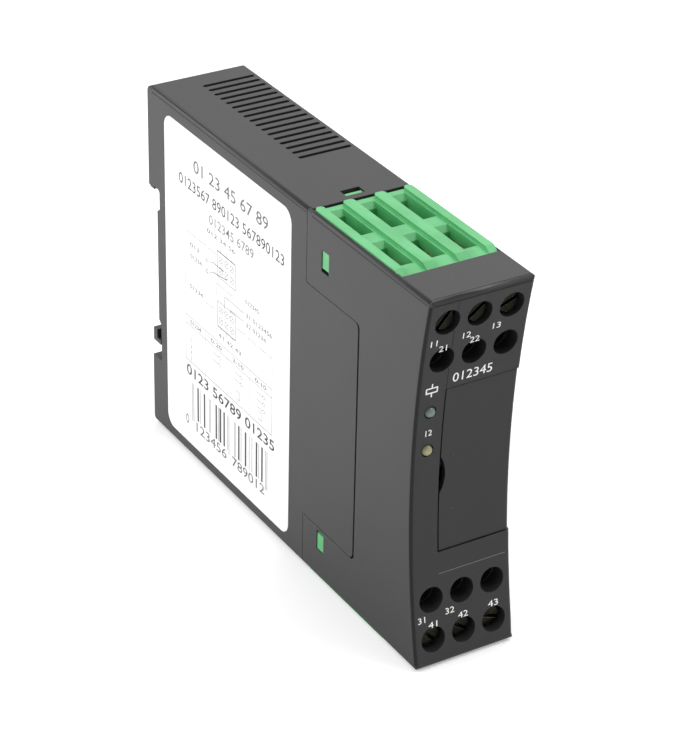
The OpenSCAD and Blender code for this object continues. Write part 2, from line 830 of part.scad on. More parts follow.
// Tongue that holds the terminal block in the rear housing
module tongue_hook() {
    x0 = tongue_x[0] + 0.2;
    x1 = tongue_x[1] - 0.2;
    top = inner_z - 0.2;
    hook_y = tongue_y + snug;
    hook_z = height - flush_gap[0];
    box([x0, cap_y1 - eps, top - tongue_wall], [x1, hook_y + hook_len[0] + snug, top]);
    along_x(x0, x1) polygon([
        [hook_y, top - eps], [hook_y, hook_z],
        [hook_y + hook_len[1], hook_z], [hook_y + hook_len[0], top - eps]
    ]);
}

module terminal_block() {
    difference() {
        union() {
            box([block_x0, block_y, block_z0], [block_x1, cap_y1, cap_z0]);
            along_x(cap_x0, cap_x1) cap_outline();
            ridge(cap_x0, cap_x0 + side_ridge_w);
            ridge(cap_x1 - side_ridge_w, cap_x1);
            for (s = [-1, 1]) {
                x = mid_x + s * col_pitch / 2;
                ridge(x - ridge_w / 2, x + ridge_w / 2);
            }
            latch_nose();
            translate([width, 0, 0]) mirror([1, 0, 0]) latch_nose();
            tongue_hook();
        }
        for (i = [0:2], row = [0, 1]) {
            wire_pocket(i, row);
            rod_y(col_x(i), row_z(row), block_y - over, pocket_front + row_y(row) + eps, tunnel_d);
        }
        contacts(snug);
    }
}

module top_terminal_block() color(green_colour) place() terminal_block();

module bottom_terminal_block() color(green_colour) place() lower_end() terminal_block();

// Six clamp screws with slotted heads
module terminal_screws() {
    for (i = [0:2], row = [0, 1]) {
        tip = bar_y0 + row_y(row) - 0.05;
        head = front_y(row_z(row)) + screw_sink[row];
        translate([col_x(i), head, row_z(row)]) rotate([-90, slot_turn[0] + i * slot_turn[1], 0])
            difference() {
                union() {
                    cylinder(h = head_bevel + eps, d1 = screw_d[0] - 2 * head_bevel, d2 = screw_d[0]);
                    translate([0, 0, head_bevel]) cylinder(h = screw_head - head_bevel, d = screw_d[0]);
                    cylinder(h = tip - head, d = screw_d[1]);
                }
                translate([-screw_d[0], -screw_slot[0] / 2, -over])
                    cube([2 * screw_d[0], screw_slot[0], over + screw_slot[1]]);
            }
    }
}

module top_terminal_screws() color(steel_colour) place() terminal_screws();

module bottom_terminal_screws() color(steel_colour) place() lower_end() terminal_screws();

// Six brass cages that pull the wires against the contact bars
module clamp_cages() {
    for (i = [0:2], row = [0, 1]) {
        x = col_x(i);
        y = cage_y0 + row_y(row);
        z = row_z(row);
        difference() {
            box([x - cage[0] / 2, y, z - cage[2] / 2], [x + cage[0] / 2, y + cage[1], z + cage[2] / 2]);
            box([x - cage[0] / 2 + cage_wall, y + cage_wall, z - cage[2]],
                [x + cage[0] / 2 - cage_wall, y + cage[1] - cage_wall, z + cage[2]]);
            rod_y(x, z, y - over, y + cage_wall + eps, screw_d[1] + 2 * running);
        }
    }
}

module top_clamp_cages() color(brass_colour) place() clamp_cages();

module bottom_clamp_cages() color(brass_colour) place() lower_end() clamp_cages();

module top_contact_bars() color(brass_colour) place() contacts(0);

module bottom_contact_bars() color(brass_colour) place() lower_end() contacts(0);

module side_label() color("white") place() {
    along_x(label_t[1] - label_t[0], label_t[1])
        translate(label_at + [snug, snug]) slab(label_size - 2 * [snug, snug], label_r - snug);
}

// An indicator lamp: lens, flange and two leads to the front board
module lamp(z) {
    lens_y = front_y(z) + 0.25;
    flange_y = front_y(z) + front_wall + 0.4;
    intersection() {
        rod_y(lamp_x, z, lens_y, flange_y + 1, lamp_d);
        translate([lamp_x, lens_y + lens_r, z]) sphere(lens_r);
    }
    rod_y(lamp_x, z, lens_y + 1.6, flange_y + 1, lamp_d);
    rod_y(lamp_x, z, flange_y, flange_y + 1, lamp_d + 0.6);
    for (s = [-1, 1])
        lead(lamp_x, z + s * lamp_lead[1] / 2, flange_y + 0.9, front_board_y + board_t + 0.6, lamp_lead[0]);
}

// A square lead or pin along the depth
module lead(x, z, y0, y1, w) {
    box([x - w / 2, y0, z - w / 2], [x + w / 2, y1, z + w / 2]);
}

module green_lamp() color([0.55, 0.68, 0.62]) place() lamp(lamp_z[0]);

module yellow_lamp() color([0.72, 0.7, 0.42]) place() lamp(lamp_z[1]);

module main_board() color(board_colour) place() {
    low = end_wall + board_margin;
    high = inner_z - board_margin;
    difference() {
        union() {
            box([board_x, board_step, low], [board_x + board_t, board_y1, high]);
            box([board_x, board_y0, front_board_z[0] - 0.2],
                [board_x + board_t, board_step + eps, front_board_z[1] + 0.2]);
        }
        header_holes();
        lower_end() header_holes();
        for (k = [0:header_n - 1]) hole_x(board_y0 + header_side / 2 - 0.1, header_pin_z(k));
    }
}

function header_pin_z(k) = mid_z + (k - (header_n - 1) / 2) * header_pitch;
function header_pin_y(k) = header_y + (k + 0.5) * header_pitch;

// A square pin hole through the main board
module hole_x(y, z) {
    w = header_pin / 2 + running;
    box([board_x - over, y - w, z - w], [board_x + board_t + over, y + w, z + w]);
}

module header_holes() {
    for (k = [0:header_n - 1]) hole_x(header_pin_y(k), riser_z0 - snug - header_side / 2);
}

module riser_board() {
    w = header_pin / 2 + running;
    difference() {
        box([riser_x[0], riser_y[0], riser_z0], [riser_x[1], riser_y[1], riser_z1]);
        contacts(snug);
        for (k = [0:header_n - 1])
            box([header_x - w, header_pin_y(k) - w, riser_z0 - over],
                [header_x + w, header_pin_y(k) + w, riser_z1 + over]);
    }
}

module top_riser_board() color(board_colour) place() riser_board();

module bottom_riser_board() color(board_colour) place() lower_end() riser_board();

// A pin row that joins a riser board to the main board
module riser_header() {
    z1 = riser_z0 - snug;
    z = z1 - header_side / 2;
    w = header_pin / 2;
    box([header_x - header_side / 2, header_pin_y(0) - header_pitch / 2, z1 - header_side],
        [board_x - snug, header_pin_y(header_n - 1) + header_pitch / 2, z1]);
    for (k = [0:header_n - 1]) {
        y = header_pin_y(k);
        box([header_x - w, y - w, z], [header_x + w, y + w, riser_z1 + 0.8]);
        box([header_x - w, y - w, z - w], [board_x + board_t + 0.8, y + w, z + w]);
    }
}

module top_header() color(chip_colour) place() riser_header();

module bottom_header() color(chip_colour) place() lower_end() riser_header();

module front_header() color(chip_colour) place() {
    y0 = front_board_y + board_t + snug;
    y = board_y0 + header_side / 2 - 0.1;
    w = header_pin / 2;
    box([header_x - header_side / 2, y0, header_pin_z(0) - header_pitch / 2],
        [board_x - snug, y0 + header_side, header_pin_z(header_n - 1) + header_pitch / 2]);
    for (k = [0:header_n - 1]) {
        z = header_pin_z(k);
        box([header_x - w, front_board_y + snug, z - w], [header_x + w, y, z + w]);
        box([header_x - w, y - w, z - w], [board_x + board_t + 0.8, y + w, z + w]);
    }
}

module front_board() color(board_colour) place() {
    y1 = front_board_y + board_t;
    w = header_pin / 2 + running;
    difference() {
        box([block_x0 + 0.2, front_board_y, front_board_z[0]], [block_x1 - 0.2, y1, front_board_z[1]]);
        for (k = [0:header_n - 1])
            box([header_x - w, front_board_y - over, header_pin_z(k) - w],
                [header_x + w, y1 + over, header_pin_z(k) + w]);
        for (z = lamp_z, s = [-1, 1])
            lead(lamp_x, z + s * lamp_lead[1] / 2, front_board_y - over, y1 + over, lamp_lead[0] + snug);
    }
}

// A square component body with a round seat for its rotor
module rotary_body(at, size) {
    half = size[0] / 2;
    difference() {
        box([at[0] - half, dial_y, at[1] - half], [at[0] + half, front_board_y, at[1] + half]);
        rod_y(at[0], at[1], dial_y - over, dial_y + rotor[0] - snug, size[1] + 2 * running);
    }
}

// A rotor with a screwdriver slot
module dial(at, size) {
    y0 = dial_y - 0.2;
    slot = [rotor[1] / 2, size[1] * 0.4];
    difference() {
        rod_y(at[0], at[1], y0, y0 + rotor[0], size[1]);
        box([at[0] - slot[0], y0 - over, at[1] - slot[1]],
            [at[0] + slot[0], y0 + rotor[2], at[1] + slot[1]]);
    }
}

module zero_trimmer() color([0.2, 0.35, 0.75]) place() rotary_body(zero_at, trimmer);

module span_trimmer() color([0.2, 0.35, 0.75]) place() rotary_body(span_at, trimmer);

module range_switch() color(chip_colour) place() rotary_body(range_at, selector);

module zero_rotor() color("white") place() dial(zero_at, trimmer);

module span_rotor() color("white") place() dial(span_at, trimmer);

module range_rotor() color([0.9, 0.5, 0.2]) place() dial(range_at, selector);

// The middle of the transformer
module transformer_place() {
    translate([board_face - coil_h / 2, board_step + transformer_front + core[1] / 2, mid_z]) children();
}

module transformer_core() color([0.25, 0.25, 0.27]) place() transformer_place() difference() {
    cube(core, center = true);
    for (s = [-1, 1])
        translate([0, s * (core[1] - core_leg) / 4, 0])
            cube([core[0] + 2 * over, core_window, core[2] - core_leg], center = true);
}

module transformer_coil() color([0.8, 0.55, 0.2]) place() transformer_place() difference() {
    union() {
        flange_z = core[2] / 2 - coil_flange[0];
        wound = [coil_h - 2 * winding[0], coil_w - 2 * winding[0]];
        translate([-wound[0] / 2, -wound[1] / 2, -flange_z])
            linear_extrude(2 * flange_z) slab(wound, winding[1]);
        for (s = [-1, 1])
            translate([0, 0, s * flange_z]) cube([coil_h, coil_w, coil_flange[1]], center = true);
    }
    cube([core[0] + 2 * snug, coil_leg + 2 * snug, core[2] + 2 * over], center = true);
}

// A chip lying on the main board with its legs
module chip(y, z, size, legs) {
    top = board_face - 0.3;
    box([top - size[2], y, z], [top, y + size[0], z + size[1]]);
    for (k = [0:legs - 1], s = [0, 1]) {
        zk = z + size[1] * (k + 0.5) / legs;
        y0 = s == 0 ? y - chip_leg[0] : y + size[0] - eps;
        box([top - size[2] / 2, y0, zk - chip_leg[1] / 2],
            [board_face, y0 + chip_leg[0] + eps, zk + chip_leg[1] / 2]);
    }
}

module optocouplers() color(chip_colour) place() {
    for (p = coupler_at) chip(board_y1 - p[0], mid_z + p[1], coupler, 3);
}

module signal_chips() color(chip_colour) place() {
    for (p = small_chip_at) chip(board_y0 + p[0], mid_z + p[1], small_chip, 4);
    for (p = long_chip_at) chip(board_step + p[0], mid_z + p[1], long_chip, 7);
}

// Standing capacitors with the groove that crimps their cans
module capacitors() color([0.15, 0.2, 0.35]) place() {
    for (p = capacitor_at)
        translate([board_face, board_y1 - p[0], mid_z + p[1]]) rotate([0, -90, 0]) difference() {
            cylinder(h = capacitor[1], d = capacitor[0]);
            translate([0, 0, crimp[0]]) rotate_extrude()
                translate([capacitor[0] / 2 + crimp[2], 0]) circle(crimp[1]);
        }
}

module regulator() color(chip_colour) place() {
    y0 = board_y1 - regulator_at[0];
    z0 = mid_z + regulator_at[1];
    box([board_face - regulator_tab[1] - regulator_body[2], y0, z0],
        [board_face - regulator_tab[1] + eps, y0 + regulator_body[0], z0 + regulator_body[1]]);
    box([board_face - regulator_tab[1], y0, z0],
        [board_face, y0 + regulator_body[0], z0 + regulator_tab[0]]);
}

module choke() color([0.3, 0.28, 0.27]) place() {
    r = choke_d / 2;
    t = choke_len[1];
    translate([board_face, board_y1 - choke_at[0], mid_z + choke_at[1]]) rotate([0, -90, 0]) rotate_extrude()
        polygon([
            [0, 0], [r[0], 0], [r[0], t], [r[1], t], [r[1], choke_len[0] - t], [r[0], choke_len[0] - t],
            [r[0], choke_len[0]], [0, choke_len[0]]
        ]);
}

module film_capacitor() color([0.7, 0.2, 0.15]) place() {
    translate([board_face - film[2], board_y1 - film_at[0], mid_z + film_at[1]])
        cube([film[2], film[0], film[1]]);
}

rear_housing();
front_hood();
front_flap();
top_terminal_block();
bottom_terminal_block();
top_terminal_screws();
bottom_terminal_screws();
top_clamp_cages();
bottom_clamp_cages();
top_contact_bars();
bottom_contact_bars();
rail_foot();
foot_spring();
side_label();
green_lamp();
yellow_lamp();
main_board();
front_board();
top_riser_board();
bottom_riser_board();
top_header();
bottom_header();
front_header();
zero_trimmer();
zero_rotor();
span_trimmer();
span_rotor();
range_switch();
range_rotor();
transformer_core();
transformer_coil();
optocouplers();
capacitors();
signal_chips();
regulator();
choke();
film_capacitor();
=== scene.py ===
# Looks of the signal converter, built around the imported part
import math

import bpy
from mathutils import Matrix, Vector


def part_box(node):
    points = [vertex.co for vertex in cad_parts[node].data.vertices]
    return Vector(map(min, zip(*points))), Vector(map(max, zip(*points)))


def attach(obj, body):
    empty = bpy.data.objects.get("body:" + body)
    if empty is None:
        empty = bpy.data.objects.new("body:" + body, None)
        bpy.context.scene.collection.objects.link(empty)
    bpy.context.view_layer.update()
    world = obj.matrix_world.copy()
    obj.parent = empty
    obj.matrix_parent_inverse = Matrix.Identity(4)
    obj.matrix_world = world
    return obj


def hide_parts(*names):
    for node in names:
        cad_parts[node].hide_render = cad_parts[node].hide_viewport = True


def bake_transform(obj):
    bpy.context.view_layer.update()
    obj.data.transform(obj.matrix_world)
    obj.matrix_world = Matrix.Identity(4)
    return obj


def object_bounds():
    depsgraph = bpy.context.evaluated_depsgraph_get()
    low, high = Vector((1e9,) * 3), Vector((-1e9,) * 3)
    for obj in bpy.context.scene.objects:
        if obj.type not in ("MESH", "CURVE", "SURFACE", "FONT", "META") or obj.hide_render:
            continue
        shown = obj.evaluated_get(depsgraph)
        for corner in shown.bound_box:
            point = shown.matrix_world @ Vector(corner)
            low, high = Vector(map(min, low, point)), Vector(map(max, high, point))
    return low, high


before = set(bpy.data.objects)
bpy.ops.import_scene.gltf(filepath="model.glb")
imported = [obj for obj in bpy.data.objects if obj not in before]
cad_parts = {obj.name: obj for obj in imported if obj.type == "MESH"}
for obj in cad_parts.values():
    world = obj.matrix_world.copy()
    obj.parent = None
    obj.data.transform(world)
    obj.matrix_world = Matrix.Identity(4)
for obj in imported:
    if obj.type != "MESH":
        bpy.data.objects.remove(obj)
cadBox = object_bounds()

mm = 0.001
case = {
    "width": 22.5,
    "depth": 108.0,
    "height": 80.0,
    "sag": 4.15,         # how far the middle of the hollow front lies back
}
rearLow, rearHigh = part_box("rear_housing")
corner = Vector((rearLow.x, rearHigh.y - case["depth"] * mm, rearLow.z))
frontRadius = (case["height"] ** 2 / 4 + case["sag"] ** 2) / (2 * case["sag"])


def at(x, y, z):
    # millimetres from the front lower corner at the label side, as a point of the frame
    return corner + Vector((x, y, z)) * mm


def frontY(z):
    # depth of the hollow front at that height
    fromMiddle = z - case["height"] / 2
    return case["sag"] - frontRadius + math.sqrt(frontRadius ** 2 - fromMiddle ** 2)


def tint(code):
    # a written colour such as "57575a", as the linear colour that shaders take
    parts = [int(code[i:i + 2], 16) / 255 for i in (0, 2, 4)]
    linear = [p / 12.92 if p <= 0.04045 else ((p + 0.055) / 1.055) ** 2.4 for p in parts]
    return (*linear, 1.0)


class Wire:
    # one output of a shader node, so that sums on it read as sums
    def __init__(self, paint, socket):
        self.paint = paint
        self.socket = socket

    def sum(self, operation, first, second):
        return self.paint.node("Math", {"operation": operation}, {0: first, 1: second})

    def __add__(self, other):
        return self.sum("ADD", self, other)

    def __radd__(self, other):
        return self.sum("ADD", other, self)

    def __sub__(self, other):
        return self.sum("SUBTRACT", self, other)

    def __rsub__(self, other):
        return self.sum("SUBTRACT", other, self)

    def __mul__(self, other):
        return self.sum("MULTIPLY", self, other)

    def __rmul__(self, other):
        return self.sum("MULTIPLY", other, self)

    def __lt__(self, other):
        return self.sum("LESS_THAN", self, other)


speckSoft = 0.6                 # part of a speck's radius within which it is at its strongest
edgeTurn = (0.02, 0.3)          # how far a rounded normal turns where an edge starts, and at its heart


class Paint:
    # the nodes of one material or world, with a short way to make them
    def __init__(self, owner):
        self.owner = owner
        owner.use_nodes = True
        self.tree = owner.node_tree
        self.tree.nodes.clear()

    def node(self, kind, settings=None, sockets=None, out=0):
        made = self.tree.nodes.new("ShaderNode" + kind)
        for name, value in (settings or {}).items():
            setattr(made, name, value)
        for key, value in (sockets or {}).items():
            if isinstance(value, Wire):
                self.tree.links.new(value.socket, made.inputs[key])
            else:
                made.inputs[key].default_value = value
        return Wire(self, made.outputs[out]) if made.outputs else made

    def place(self, stretch=(1.0, 1.0, 1.0)):
        # where a point lies on its piece, in millimetres
        spot = self.node("TexCoord", out="Object")
        size = tuple(s / mm for s in stretch)
        return self.node("VectorMath", {"operation": "MULTIPLY"}, {0: spot, 1: size})

    def axis(self, spot, letter):
        return self.node("SeparateXYZ", {}, {0: spot}, out=letter.upper())

    def noise(self, spot, size, detail=2.0):
        return self.node("TexNoise", {}, {"Vector": spot, "Scale": 1 / size, "Detail": detail})

    def ramp(self, value, low, high):
        # 0 below low and 1 above high, with a soft step between
        return self.node("MapRange", {"interpolation_type": "SMOOTHSTEP"}, {0: value, 1: low, 2: high})

    def blend(self, mask, first, second):
        kind = {"data_type": "RGBA"}
        return self.node("Mix", kind, {0: mask, 6: first, 7: second}, out=2)

    def specks(self, spot, spacing, radius, share):
        # small round spots, in that share of the cells
        cell = {"Vector": spot, "Scale": 1 / spacing}
        near = self.node("TexVoronoi", {}, cell)
        pick = self.node("SeparateColor", {}, {0: self.node("TexVoronoi", {}, cell, out="Color")})
        return (1 - self.ramp(near, radius / spacing * speckSoft, radius / spacing)) * (pick < share)

    def rounded(self, radius):
        # the normal with its sharp edges rounded, and a mask of those edges
        soft = self.node("Bevel", {"samples": 4}, {"Radius": radius * mm})
        flat = self.node("NewGeometry", out="Normal")
        same = self.node("VectorMath", {"operation": "DOT_PRODUCT"}, {0: soft, 1: flat}, out="Value")
        return soft, self.ramp(1 - same, *edgeTurn)

    def bump(self, height, depth, normal=None):
        sockets = {"Height": height, "Distance": depth * mm, "Strength": 1.0}
        if normal:
            sockets["Normal"] = normal
        return self.node("Bump", {}, sockets)

    def surface(self, sockets):
        shader = self.node("BsdfPrincipled", {}, sockets)
        self.node("OutputMaterial", {}, {0: shader})
        return self.owner


def newPaint(name):
    return Paint(bpy.data.materials.new(name))


# Moulded plastics

shellLook = {
    "colour": tint("1f1f21"),
    "pale": tint("2b2b2d"),
    "worn": tint("5a5a5c"),
    "speck": tint("a5a5a0"),
    "grain": 0.16,          # size of the eroded mould grain, mm
    "grainDepth": 0.012,
    "cloud": 14,            # size of the slow changes of tone
    "rub": 1.3,             # size of the rubbed patches along the edges
    "rubStep": (0.48, 0.66),        # between which values the noise turns into a patch
    "streak": 0.5,          # size of the fine streaks, before their stretch
    "streakStep": (0.72, 0.80),
    "stretch": (0.3, 0.06, 1.6),
    "dust": (2.6, 0.10, 0.30),      # spacing, radius and share of the specks
    "edge": 0.18,           # rounding of the mould's edges
    "cloudTone": 0.35,      # how far each of these moves the tone
    "grainTone": 0.30,
    "rubTone": 0.55,
    "streakTone": 0.10,
    "dustTone": 0.45,
    "rough": 0.42,
    "grainRough": 0.14,     # and the roughness
    "edgeSmooth": 0.10,
    "cloudRough": 0.06,
    "gloss": 0.58,
}


def shellPlastic(name, look):
    paint = newPaint(name)
    spot = paint.place()
    grain = paint.noise(spot, look["grain"], 3)
    cloud = paint.noise(spot, look["cloud"], 3)
    normal, edge = paint.rounded(look["edge"])
    rub = paint.ramp(paint.noise(spot, look["rub"], 4), *look["rubStep"])
    streak = paint.ramp(paint.noise(paint.place(look["stretch"]), look["streak"], 2), *look["streakStep"])
    dust = paint.specks(spot, *look["dust"])
    pale = look["cloudTone"] * cloud + look["grainTone"] * grain
    tone = paint.blend(pale, look["colour"], look["pale"])
    tone = paint.blend(edge * rub * look["rubTone"], tone, look["worn"])
    tone = paint.blend(streak * look["streakTone"], tone, look["worn"])
    tone = paint.blend(dust * look["dustTone"], tone, look["speck"])
    rough = look["rough"] + look["grainRough"] * grain - look["edgeSmooth"] * edge
    return paint.surface({
        "Base Color": tone,
        "Roughness": rough + look["cloudRough"] * cloud,
        "Specular IOR Level": look["gloss"],
        "Normal": paint.bump(grain, look["grainDepth"], normal),
    })


greenLook = {
    "colour": tint("60ba79"),
    "deep": tint("4ca864"),
    # the paler green is painted on the edges as their highlight
    "pale": tint("9ae3b0"),
    "flow": 5.0,            # width of the slow bands in the green, mm
    "flowStep": (0.3, 0.75),
    "stretch": (1.0, 0.5, 0.35),
    "grain": 0.10,
    "grainDepth": 0.004,
    "edge": 0.14,
    "edgeTone": 0.75,
    "rough": 0.36,
    "grainRough": 0.12,
    "flowRough": 0.08,
}


def greenPlastic(look):
    paint = newPaint("green plastic")
    spot = paint.place()
    flow = paint.noise(paint.place(look["stretch"]), look["flow"], 3)
    grain = paint.noise(spot, look["grain"], 2)
    normal, edge = paint.rounded(look["edge"])
    tone = paint.blend(paint.ramp(flow, *look["flowStep"]), look["deep"], look["colour"])
    # painted highlight: the edges are painted paler
    tone = paint.blend(edge * look["edgeTone"], tone, look["pale"])
    return paint.surface({
        "Base Color": tone,
        "Roughness": look["rough"] + look["grainRough"] * grain + look["flowRough"] * flow,
        "Normal": paint.bump(grain, look["grainDepth"], normal),
        "Coat Weight": 0.12,
        "Coat Roughness": 0.25,
    })


# Metals

metalLook = {
    # the screws' dark colour and dull paint the dark reflection of the wells around their heads, and their
    # near-white edge colour paints glints along the slot and rim edges
    "screw_steel": {
        "colour": tint("2c2a23"), "dull": tint("1b1a16"), "edge": tint("ece8d8"),
        "rough": 0.20, "grain": 0.25, "round": 0.10,
    },
    "clamp_brass": {
        "colour": tint("cfc39a"), "dull": tint("9b8a5c"), "edge": tint("e0d6b0"),
        "rough": 0.34, "grain": 0.4, "round": 0.06,
    },
    "contact_tin": {
        "colour": tint("d3d3cf"), "dull": tint("9d9d99"), "edge": tint("e2e2de"),
        "rough": 0.28, "grain": 0.5, "round": 0.06,
    },
    "spring_steel": {
        "colour": tint("8f9092"), "dull": tint("5d5e60"), "edge": tint("b0b1b3"),
        "rough": 0.33, "grain": 0.2, "round": 0.05,
    },
}
metalWear = {
    "stretch": (3.0, 0.6, 3.0),     # of the drawn or turned lines
    "markDepth": 0.004,
    "markRough": 0.16,
    "stain": 1.6,           # size of the dull patches, mm
    "stainStep": (0.40, 0.72),
    "stainTone": 0.6,
    "stainRough": 0.12,
    "edgeTone": 0.8,
}


def metal(name, look, wear):
    paint = newPaint(name.replace("_", " "))
    spot = paint.place()
    marks = paint.noise(paint.place(wear["stretch"]), look["grain"], 3)
    stain = paint.ramp(paint.noise(spot, wear["stain"], 4), *wear["stainStep"])
    normal, edge = paint.rounded(look["round"])
    tone = paint.blend(stain * wear["stainTone"], look["colour"], look["dull"])
    # the edges take the look's edge colour: on the screws a painted glint, on the other metals a slightly
    # paler edge
    tone = paint.blend(edge * wear["edgeTone"], tone, look["edge"])
    return paint.surface({
        "Base Color": tone,
        "Metallic": 1.0,
        "Roughness": look["rough"] + wear["markRough"] * marks + wear["stainRough"] * stain,
        "Normal": paint.bump(marks, wear["markDepth"], normal),
    })


# Label film and lamps

labelLook = {
    "colour": tint("fbfbfa"),
    "shade": tint("f0f0ee"),
    "fibre": 0.35,          # size of the film's fine and slow unevenness, mm
    "wave": 9,
    "waveHigh": 2,          # height of the slow one against the fine one
    "depth": 0.004,
    "fibreTone": 0.5,
    "fibreRough": 0.15,
    "rough": 0.42,
}


def labelFilm(look):
    paint = newPaint("label film")
    spot = paint.place()
    fibre = paint.noise(spot, look["fibre"], 4)
    wave = paint.noise(spot, look["wave"], 2)
    tone = paint.blend(look["fibreTone"] * fibre * wave, look["colour"], look["shade"])
    return paint.surface({
        "Base Color": tone,
        "Roughness": look["rough"] + look["fibreRough"] * fibre,
        "Normal": paint.bump(fibre + look["waveHigh"] * wave, look["depth"]),
    })


# each lamp's colour, and the darker one that is painted as shade where the dome goes into its hole
lampLook = {
    "lamp_green": {"colour": tint("74857f"), "deep": tint("4c5d57")},
    "lamp_yellow": {"colour": tint("a6a57c"), "deep": tint("77754b")},
}
resinLook = {
    "grain": 0.12,
    "grainDepth": 0.003,
    "grainTone": 0.25,
    "crownStep": (0.45, 1.0),
    "crownTone": 0.75,
    "rough": 0.30,
    "grainRough": 0.15,
}


def lampPlastic(name, look, resin):
    # diffused, tinted resin, with painted light: paler where it faces the front, and painted shade where it
    # goes down into its hole
    paint = newPaint(name.replace("_", " "))
    spot = paint.place()
    grain = paint.noise(spot, resin["grain"], 3)
    facing = paint.axis(paint.node("NewGeometry", out="Normal"), "y")
    crown = paint.ramp(0 - facing, *resin["crownStep"])
    pale = crown * (resin["crownTone"] + resin["grainTone"] * grain)
    return paint.surface({
        "Base Color": paint.blend(pale, look["deep"], look["colour"]),
        "Roughness": resin["rough"] + resin["grainRough"] * grain,
        "Normal": paint.bump(grain, resin["grainDepth"]),
        "Coat Weight": 0.6,
        "Coat Roughness": 0.12,
        "Subsurface Weight": 0.15,
        "Subsurface Scale": 0.6 * mm,
    })


# Boards and what stands on them

partLook = {
    "chip_black": {"colour": tint("26272a"), "pale": tint("34353a"), "rough": 0.48, "grain": 0.12},
    "trimmer_blue": {"colour": tint("2b62a8"), "pale": tint("4177bb"), "rough": 0.34, "grain": 0.2},
    "rotor_white": {"colour": tint("e2e0d8"), "pale": tint("f0eee8"), "rough": 0.38, "grain": 0.2},
    "rotor_orange": {"colour": tint("cf6a2c"), "pale": tint("dd8145"), "rough": 0.40, "grain": 0.2},
    "ferrite": {"colour": tint("3b3a3c"), "pale": tint("514f50"), "rough": 0.62, "grain": 0.3},
    "coil_tape": {"colour": tint("d2b43c"), "pale": tint("e2c859"), "rough": 0.30, "grain": 1.2},
    "sleeve_blue": {"colour": tint("23344f"), "pale": tint("31496b"), "rough": 0.30, "grain": 0.8},
    "film_red": {"colour": tint("a8362c"), "pale": tint("bb4a3d"), "rough": 0.36, "grain": 0.6},
}
partWear = {
    "grainStep": (0.35, 0.75),
    "grainDepth": 0.006,
    "grainRough": 0.15,
    "edge": 0.08,
    "edgeTone": 0.4,
}


def partPlastic(name, look, wear):
    paint = newPaint(name.replace("_", " "))
    spot = paint.place()
    grain = paint.noise(spot, look["grain"], 4)
    normal, edge = paint.rounded(wear["edge"])
    tone = paint.blend(paint.ramp(grain, *wear["grainStep"]), look["colour"], look["pale"])
    tone = paint.blend(edge * wear["edgeTone"], tone, look["pale"])
    return paint.surface({
        "Base Color": tone,
        "Roughness": look["rough"] + wear["grainRough"] * grain,
        "Normal": paint.bump(grain, wear["grainDepth"], normal),
    })


boardLook = {
    "mask": tint("1d6b3a"),
    "track": tint("2c8a4e"),
    "lanes": 0.32,          # scale of the wave that lays the tracks in lanes
    "laneStep": (0.55, 0.65),
    "part": 3.0,            # length of the stretches with and without tracks, mm
    "partStep": (0.46, 0.50),
    "stretch": (1.0, 0.25, 1.0),
    "trackHigh": 0.035,
    "trackTone": 0.9,
    "cloud": 0.5,           # size of the unevenness of the mask
    "cloudRough": 0.14,
    "rough": 0.28,
}


def boardMask(look):
    # solder mask over copper tracks that run in lanes
    paint = newPaint("board green")
    spot = paint.place()
    wave = {"Vector": spot, "Scale": look["lanes"], "Distortion": 0.0}
    lane = paint.node("TexWave", {"bands_direction": "Z"}, wave)
    part = paint.ramp(paint.noise(paint.place(look["stretch"]), look["part"], 1), *look["partStep"])
    track = paint.ramp(lane, *look["laneStep"]) * part
    cloud = paint.noise(spot, look["cloud"], 3)
    tone = paint.blend(track * look["trackTone"], look["mask"], look["track"])
    return paint.surface({
        "Base Color": tone,
        "Roughness": look["rough"] + look["cloudRough"] * cloud,
        "Normal": paint.bump(track, look["trackHigh"]),
        "Coat Weight": 0.3,
        "Coat Roughness": 0.15,
    })


inkLook = {
    "patch": 0.18,          # size of the patches in which it dried, mm
    "patchStep": (0.55, 0.85),
    "patchDepth": 0.003,
    "patchRough": 0.2,
    "dried": tint("808080"),
    "driedTone": 0.12,
}


def inkPaint(name, colour, rough, look=inkLook):
    # screen ink, a little uneven where it dried
    paint = newPaint(name)
    patch = paint.noise(paint.place(), look["patch"], 3)
    dried = paint.ramp(patch, *look["patchStep"]) * look["driedTone"]
    return paint.surface({
        "Base Color": paint.blend(dried, colour, look["dried"]),
        "Roughness": rough + look["patchRough"] * patch,
        "Normal": paint.bump(patch, look["patchDepth"]),
    })


shell = shellPlastic("dark shell", shellLook)
rubbedShell = shellPlastic("rubbed shell edge", dict(shellLook, rough=0.27, gloss=0.70))
finishes = {
    "dark_shell": shell,
    "green_plastic": greenPlastic(greenLook),
    "label_film": labelFilm(labelLook),
    "board_green": boardMask(boardLook),
}
for name, look in metalLook.items():
    finishes[name] = metal(name, look, metalWear)
for name, look in lampLook.items():
    finishes[name] = lampPlastic(name, look, resinLook)
for name, look in partLook.items():
    finishes[name] = partPlastic(name, look, partWear)
whiteInk = inkPaint("white ink", tint("f8f8f6"), 0.45)
blackInk = inkPaint("black ink", tint("2e2e30"), 0.50)
greyInk = inkPaint("grey ink", tint("5f5f62"), 0.50)
paleInkAndHighlight = inkPaint("pale ink and painted highlight", tint("8a8a8c"), 0.50)
# near-black ink, for the mould's witness lines and for the dark lines that paint shade along the upper
# edges and on the front's upright edge
seamAndShadeInk = inkPaint("dark joint", tint("141415"), 0.70)
print("materials made:", len(bpy.data.materials))

